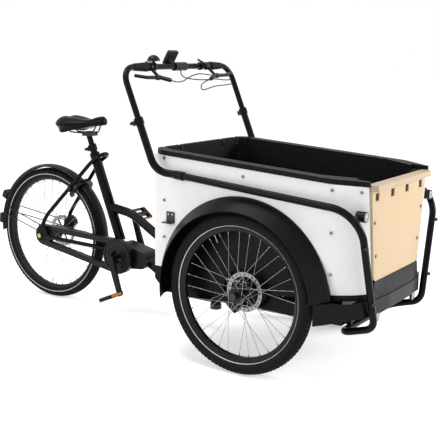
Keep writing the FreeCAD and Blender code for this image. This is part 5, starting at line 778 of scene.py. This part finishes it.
cushion_round = saddle.modifiers.new("cushion_round", "SUBSURF")
cushion_round.levels = 1
cushion_round.render_levels = 1
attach(saddle, "seat")
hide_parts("saddle")

# Cargo tub: vacuum formed black plastic with a turned rim, four latch plugs in the notches of its
# rear rim, and the battery in its tray below.
NOTCH_PLACES = (0.160, 0.268)
PLUG_HALF_WIDTH = 0.0086
PLUG_BACK = 0.004
PLUG_FRONT = 0.020
PLUG_DEPTH = 0.0294
PLUG_DROP = 0.004
PLUG_EDGE = 0.002

tub_plastic = finish("tub_plastic", dark=(0.0030, 0.0030, 0.0033, 1), light=(0.0075, 0.0075, 0.008, 1),
                     grain=1200.0, gloss=(0.42, 0.58), relief=0.00015, sheen=0.10)
dress(tub_plastic, "cargo_tub")
dress(moulding, "battery")


def box_row(places, half_width, back, front, bottom, top, edge):
    """A row of soft-edged boxes across the object, one on each side of the middle for each place."""
    boxes = []
    for across in places:
        for side in (1, -1):
            low = (back, side * across - half_width, bottom)
            high = (front, side * across + half_width, top)
            boxes.append(soft_edged_box(low, high, edge))
    return joined(boxes)


tub_low, tub_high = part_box("cargo_tub")
plugs = box_row(NOTCH_PLACES, PLUG_HALF_WIDTH, tub_low.x + PLUG_BACK, tub_low.x + PLUG_FRONT,
                tub_high.z - PLUG_DEPTH, tub_high.z - PLUG_DROP, PLUG_EDGE)
latches = into_scene("rim_latches", plugs, moulding)
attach(latches, "front_carriage")

# Side panels, arches and skirt: white laminate panels screwed to the tub, over moulded arches and
# the skirt that closes the nose.
laminate = finish("white_laminate", dark=(0.85, 0.855, 0.835, 1), light=(0.90, 0.905, 0.885, 1),
                  grain=220.0, gloss=(0.34, 0.44), relief=0.00002, sheen=0.4)
dress(laminate, "side_panels")
arch_plastic = finish("arch_plastic", dark=(0.0025, 0.0025, 0.0027, 1), light=(0.006, 0.006, 0.0063, 1),
                      grain=1500.0, gloss=(0.34, 0.44), relief=0.0001, sheen=0.115)
dress(arch_plastic, "wheel_arches", "front_skirt")

# Front board: birch plywood, clear lacquered, with plies that show on every sawn edge, a shelf on
# top painted darker as painted shade, and a row of slots that the black tabs of the tub reach into.
BOARD_BACK = 1.0745
BOARD_HIGH = 0.754
SHELF_START = BOARD_HIGH + 0.0002
PLY = 0.0030
GRAIN_STRETCH = (45.0, 55.0, 2.5)
BIRCH_DETAIL = 8.0
BIRCH_FIBRE = 0.62
BIRCH_WAVER = 0.4
BIRCH_DARK = (0.90, 0.75, 0.48, 1)
BIRCH_LIGHT = (0.97, 0.87, 0.63, 1)
BIRCH_SPAN = (0.30, 0.66)
BIRCH_SHEEN = 0.35
BIRCH_GLOSS = (0.36, 0.52)
BIRCH_BUMP = 0.6
BIRCH_RELIEF = 0.0001
# Painted shade: the shelf is painted this darker birch colour, a shaded copy of the same plywood.
SHELF_PAINTED_SHADE = (0.47, 0.385, 0.275, 1)
GLUE_TONE = (0.36, 0.22, 0.10, 1)
GLUE_SPAN = (0.1, 0.8)
GLUE_SHARE = 0.75
SLOT_PLACES = (0.071, 0.213)
TAB_HALF_WIDTH = 0.0162
TAB_LOW = 0.7128
TAB_HIGH = 0.7412
TAB_BACK = 1.0748
TAB_FRONT = 1.0862
TAB_EDGE = 0.0015


def laid_over(tree, share, under, colour):
    """Output of a mix that lays a plain colour over another node's colour by a share."""
    mix = tree.nodes.new("ShaderNodeMix")
    mix.data_type = "RGBA"
    mix.inputs["B"].default_value = colour
    tree.links.new(share, mix.inputs["Factor"])
    tree.links.new(under, mix.inputs["A"])
    return mix.outputs["Result"]


def birch_plywood():
    """Lacquered birch: long grain on the faces, the plies' dark lines on the edges, and painted shade on
    the shelf.
    """
    made = bpy.data.materials.new("birch_plywood")
    made.use_nodes = True
    tree = made.node_tree
    shader = tree.nodes["Principled BSDF"]
    shader.inputs["Specular IOR Level"].default_value = BIRCH_SHEEN
    place = tree.nodes.new("ShaderNodeTexCoord").outputs["Object"]
    stretch = tree.nodes.new("ShaderNodeMapping")
    stretch.inputs["Scale"].default_value = GRAIN_STRETCH
    tree.links.new(place, stretch.inputs["Vector"])
    fibres = noise(tree, stretch.outputs["Vector"], 1.0, BIRCH_DETAIL)
    fibres.inputs["Roughness"].default_value = BIRCH_FIBRE
    fibres.inputs["Distortion"].default_value = BIRCH_WAVER
    grain = fibres.outputs["Fac"]
    parts = tree.nodes.new("ShaderNodeSeparateXYZ")
    tree.links.new(place, parts.inputs["Vector"])
    lines = []
    for output, start in (("X", BOARD_BACK), ("Z", BOARD_HIGH)):
        turn = rescaled(tree, parts.outputs[output], (start, start + 2 * PLY),
                        (-math.pi / 2, 3 * math.pi / 2), clamp=False)
        lines.append(worked_out(tree, "SINE", turn))
    on_shelf = worked_out(tree, "GREATER_THAN", parts.outputs["Z"], SHELF_START)
    plies = tree.nodes.new("ShaderNodeMix")
    tree.links.new(on_shelf, plies.inputs["Factor"])
    tree.links.new(lines[0], plies.inputs["A"])
    tree.links.new(lines[1], plies.inputs["B"])
    glue = rescaled(tree, plies.outputs["Result"], GLUE_SPAN, (0.0, GLUE_SHARE))
    birch = tinted(tree, grain, BIRCH_SPAN, BIRCH_DARK, BIRCH_LIGHT)
    # Painted shade: the shelf is laid over with the darker birch colour.
    boards_with_shelf_shade = laid_over(tree, on_shelf, birch, SHELF_PAINTED_SHADE)
    tree.links.new(laid_over(tree, glue, boards_with_shelf_shade, GLUE_TONE), shader.inputs["Base Color"])
    tree.links.new(rescaled(tree, grain, (0.0, 1.0), BIRCH_GLOSS), shader.inputs["Roughness"])
    raise_grain(tree, grain, BIRCH_BUMP, BIRCH_RELIEF)
    return made


dress(birch_plywood(), "front_board")
tabs = box_row(SLOT_PLACES, TAB_HALF_WIDTH, TAB_BACK, TAB_FRONT, TAB_LOW, TAB_HIGH, TAB_EDGE)
board_tabs = into_scene("board_tabs", tabs, tub_plastic)
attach(board_tabs, "front_carriage")

# Screws, studs and hooks: grey steel button screws in the panels and board, black studs on the
# bumper rail, and a black strap hook riveted to each panel behind the wheel.
HOOK_MIDDLE = Vector((0.2455, 0, 0.575))
HOOK_REACH = 0.034
HOOK_FACE = 0.3513
HOOK_BLACK = (0.008, 0.008, 0.008, 1)
STUD_FRONT = 1.0990
NUT_HIGH = 0.36
RIVET_SPREAD = 0.010
RIVET_LIFT = 0.012
RIVET_SIDES = 16
# Radius and height of a rivet's domed head and of the skirt let into the hook.
RIVET_OUTLINE = ((0, 0.0022), (0.0027, 0.00176), (0.0045, 0), (0.0045, -0.001), (0, -0.001))

screw_steel = finish("screw_steel", dark=(0.34, 0.34, 0.34, 1), light=(0.55, 0.55, 0.54, 1),
                     grain=700.0, gloss=(0.3, 0.45), relief=0.00002, metal=1.0)


def fittings():
    """Steel for the screws, and black where the hooks, the rail's studs and the axle nuts are."""
    made = finish("fittings", dark=(0.14, 0.14, 0.14, 1), light=(0.26, 0.26, 0.255, 1),
                  grain=700.0, gloss=(0.3, 0.45), relief=0.00002, metal=1.0)
    tree = made.node_tree
    shader = tree.nodes["Principled BSDF"]
    place = tree.nodes["Texture Coordinate"].outputs["Object"]
    flat = tree.nodes.new("ShaderNodeMapping")
    flat.inputs["Location"].default_value = -HOOK_MIDDLE
    flat.inputs["Scale"].default_value = (1, 0, 1)
    tree.links.new(place, flat.inputs["Vector"])
    reach = tree.nodes.new("ShaderNodeVectorMath")
    reach.operation = "LENGTH"
    tree.links.new(flat.outputs["Vector"], reach.inputs[0])
    parts = tree.nodes.new("ShaderNodeSeparateXYZ")
    tree.links.new(place, parts.inputs["Vector"])
    hook = worked_out(tree, "LESS_THAN", reach.outputs["Value"], HOOK_REACH)
    stud = worked_out(tree, "GREATER_THAN", parts.outputs["X"], STUD_FRONT)
    nut = worked_out(tree, "LESS_THAN", parts.outputs["Z"], NUT_HIGH)
    black = worked_out(tree, "MAXIMUM", hook, worked_out(tree, "MAXIMUM", stud, nut))
    steel = tree.nodes["Color Ramp"].outputs["Color"]
    tree.links.new(laid_over(tree, black, steel, HOOK_BLACK), shader.inputs["Base Color"])
    tree.links.new(worked_out(tree, "SUBTRACT", 1.0, black), shader.inputs["Metallic"])
    return made


dress(fittings(), "screws_and_brackets")
rivets = []
for side in (1, -1):
    for along in (-RIVET_SPREAD, RIVET_SPREAD):
        spot = (HOOK_MIDDLE.x + along, side * HOOK_FACE, HOOK_MIDDLE.z + RIVET_LIFT)
        rivets.append(turned_shape(RIVET_OUTLINE, RIVET_SIDES, spot, (0, side, 0)))
hook_rivets = into_scene("hook_rivets", joined(rivets), screw_steel)
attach(hook_rivets, "front_carriage")

# Front lamps and reflectors: round black lamps with clear domed lenses on arms from the rail, and
# clear round reflectors under the skirt.
LAMP_FACE = Vector((1.0965, 0.320, 0.668))
LAMP_LENS_RADIUS = 0.0168
LAMP_LENS_RISE = 0.0035
REFLECTOR_FACE = Vector((1.0982, 0.178, 0.264))
REFLECTOR_RADIUS = 0.0165
REFLECTOR_RISE = 0.0016
# Shares of the radius and of the rise, from the middle of a dome to its edge.
LENS_DOME = ((0.0, 1.0), (0.5, 0.8), (0.82, 0.4), (1.0, 0.0))
LENS_BACK = 0.001
LENS_SIDES = 36

dress(moulding, "front_lamps")
clear_lens = finish("clear_lens", dark=(0.16, 0.17, 0.175, 1), light=(0.42, 0.43, 0.44, 1),
                    grain=700.0, gloss=(0.08, 0.16), relief=0.0012, metal=0.6)


def domed_lens(spot, radius, rise):
    """A round lens facing forwards, domed in front and let in a little behind."""
    profile = [(radius * out, rise * height) for out, height in LENS_DOME]
    profile += [(radius, -LENS_BACK), (0, -LENS_BACK)]
    return turned_shape(profile, LENS_SIDES, spot, (1, 0, 0))


lenses = []
for side in (1, -1):
    for face, radius, rise in ((LAMP_FACE, LAMP_LENS_RADIUS, LAMP_LENS_RISE),
                               (REFLECTOR_FACE, REFLECTOR_RADIUS, REFLECTOR_RISE)):
        lenses.append(domed_lens((face.x, side * face.y, face.z), radius, rise))
front_lenses = into_scene("front_lenses", joined(lenses), clear_lens)
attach(front_lenses, "front_carriage")

# Grips: soft black rubber sleeves with turned ribs, tapering outwards, moulded in one piece and
# pushed on to the bar.
BAR_CENTRE = Vector((0.0325, 0, 1.175))
GRIP_INNER = 0.234
GRIP_OUTER = 0.322
GRIP_INNER_RADIUS = 0.0200
GRIP_OUTER_RADIUS = 0.0150
GRIP_BORE = 0.0129
GRIP_RIBS = 14
GRIP_SIDES = 40
RIB_DEPTH = 0.0011
# Share of a rib's length, and the drop of the surface there.
RIB_PROFILE = ((0.15, 0), (0.6, 0), (0.75, RIB_DEPTH), (0.98, RIB_DEPTH))

grip_rubber = finish("grip_rubber", dark=(0.006, 0.006, 0.006, 1), light=(0.012, 0.012, 0.0122, 1),
                     grain=1300.0, gloss=(0.6, 0.75), relief=0.00015, sheen=0.15)
grip_length = GRIP_OUTER - GRIP_INNER
grip_outline = [(GRIP_BORE, 0), (GRIP_INNER_RADIUS - RIB_DEPTH, 0)]
for rib in range(GRIP_RIBS):
    for share, drop in RIB_PROFILE:
        along = (rib + share) / GRIP_RIBS
        radius = GRIP_INNER_RADIUS + (GRIP_OUTER_RADIUS - GRIP_INNER_RADIUS) * along
        grip_outline.append((radius - drop, along * grip_length))
grip_outline += [(GRIP_OUTER_RADIUS - RIB_DEPTH, grip_length), (GRIP_BORE, grip_length), (GRIP_BORE, 0)]
ribbed_grips = into_scene("ribbed_grips", joined([
    turned_shape(grip_outline, GRIP_SIDES, BAR_CENTRE + Vector((0, side * GRIP_INNER, 0)), (0, side, 0))
    for side in (1, -1)
]), grip_rubber)
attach(ribbed_grips, "bar")
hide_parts("grips")

# Controls: moulded and cast black levers, bell, shifter and display, the display with a dark
# glass on its rear face.
DISPLAY_PIVOT = Vector((0.0025, -0.027, 1.183))
DISPLAY_TILT = math.radians(30)
GLASS_BACK = -0.0200
GLASS_THICKNESS = 0.0008
GLASS_HALF_WIDTH = 0.0310
GLASS_LOW = -0.002
GLASS_HIGH = 0.056
GLASS_EDGE = 0.00035

control_plastic = finish("control_plastic", dark=(0.003, 0.003, 0.0032, 1), light=(0.007, 0.007, 0.0074, 1),
                         grain=1000.0, gloss=(0.3, 0.42), relief=0.00006, sheen=0.18)
dress(control_plastic, "bar_controls", "brake_lever_right", "brake_lever_left", "bell_lever", "display",
      "shift_lever")
dark_glass = finish("display_glass", dark=(0.004, 0.005, 0.006, 1), light=(0.007, 0.008, 0.009, 1),
                    grain=60.0, gloss=(0.04, 0.07), relief=0.000002, sheen=0.5)
glass_mesh = soft_edged_box((GLASS_BACK - GLASS_THICKNESS, -GLASS_HALF_WIDTH, GLASS_LOW),
                            (GLASS_BACK, GLASS_HALF_WIDTH, GLASS_HIGH), GLASS_EDGE)
bmesh.ops.transform(glass_mesh, verts=glass_mesh.verts,
                    matrix=Matrix.Translation(DISPLAY_PIVOT) @ Matrix.Rotation(DISPLAY_TILT, 4, "Y"))
display_glass = into_scene("display_glass", glass_mesh, dark_glass)
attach(display_glass, "screen")
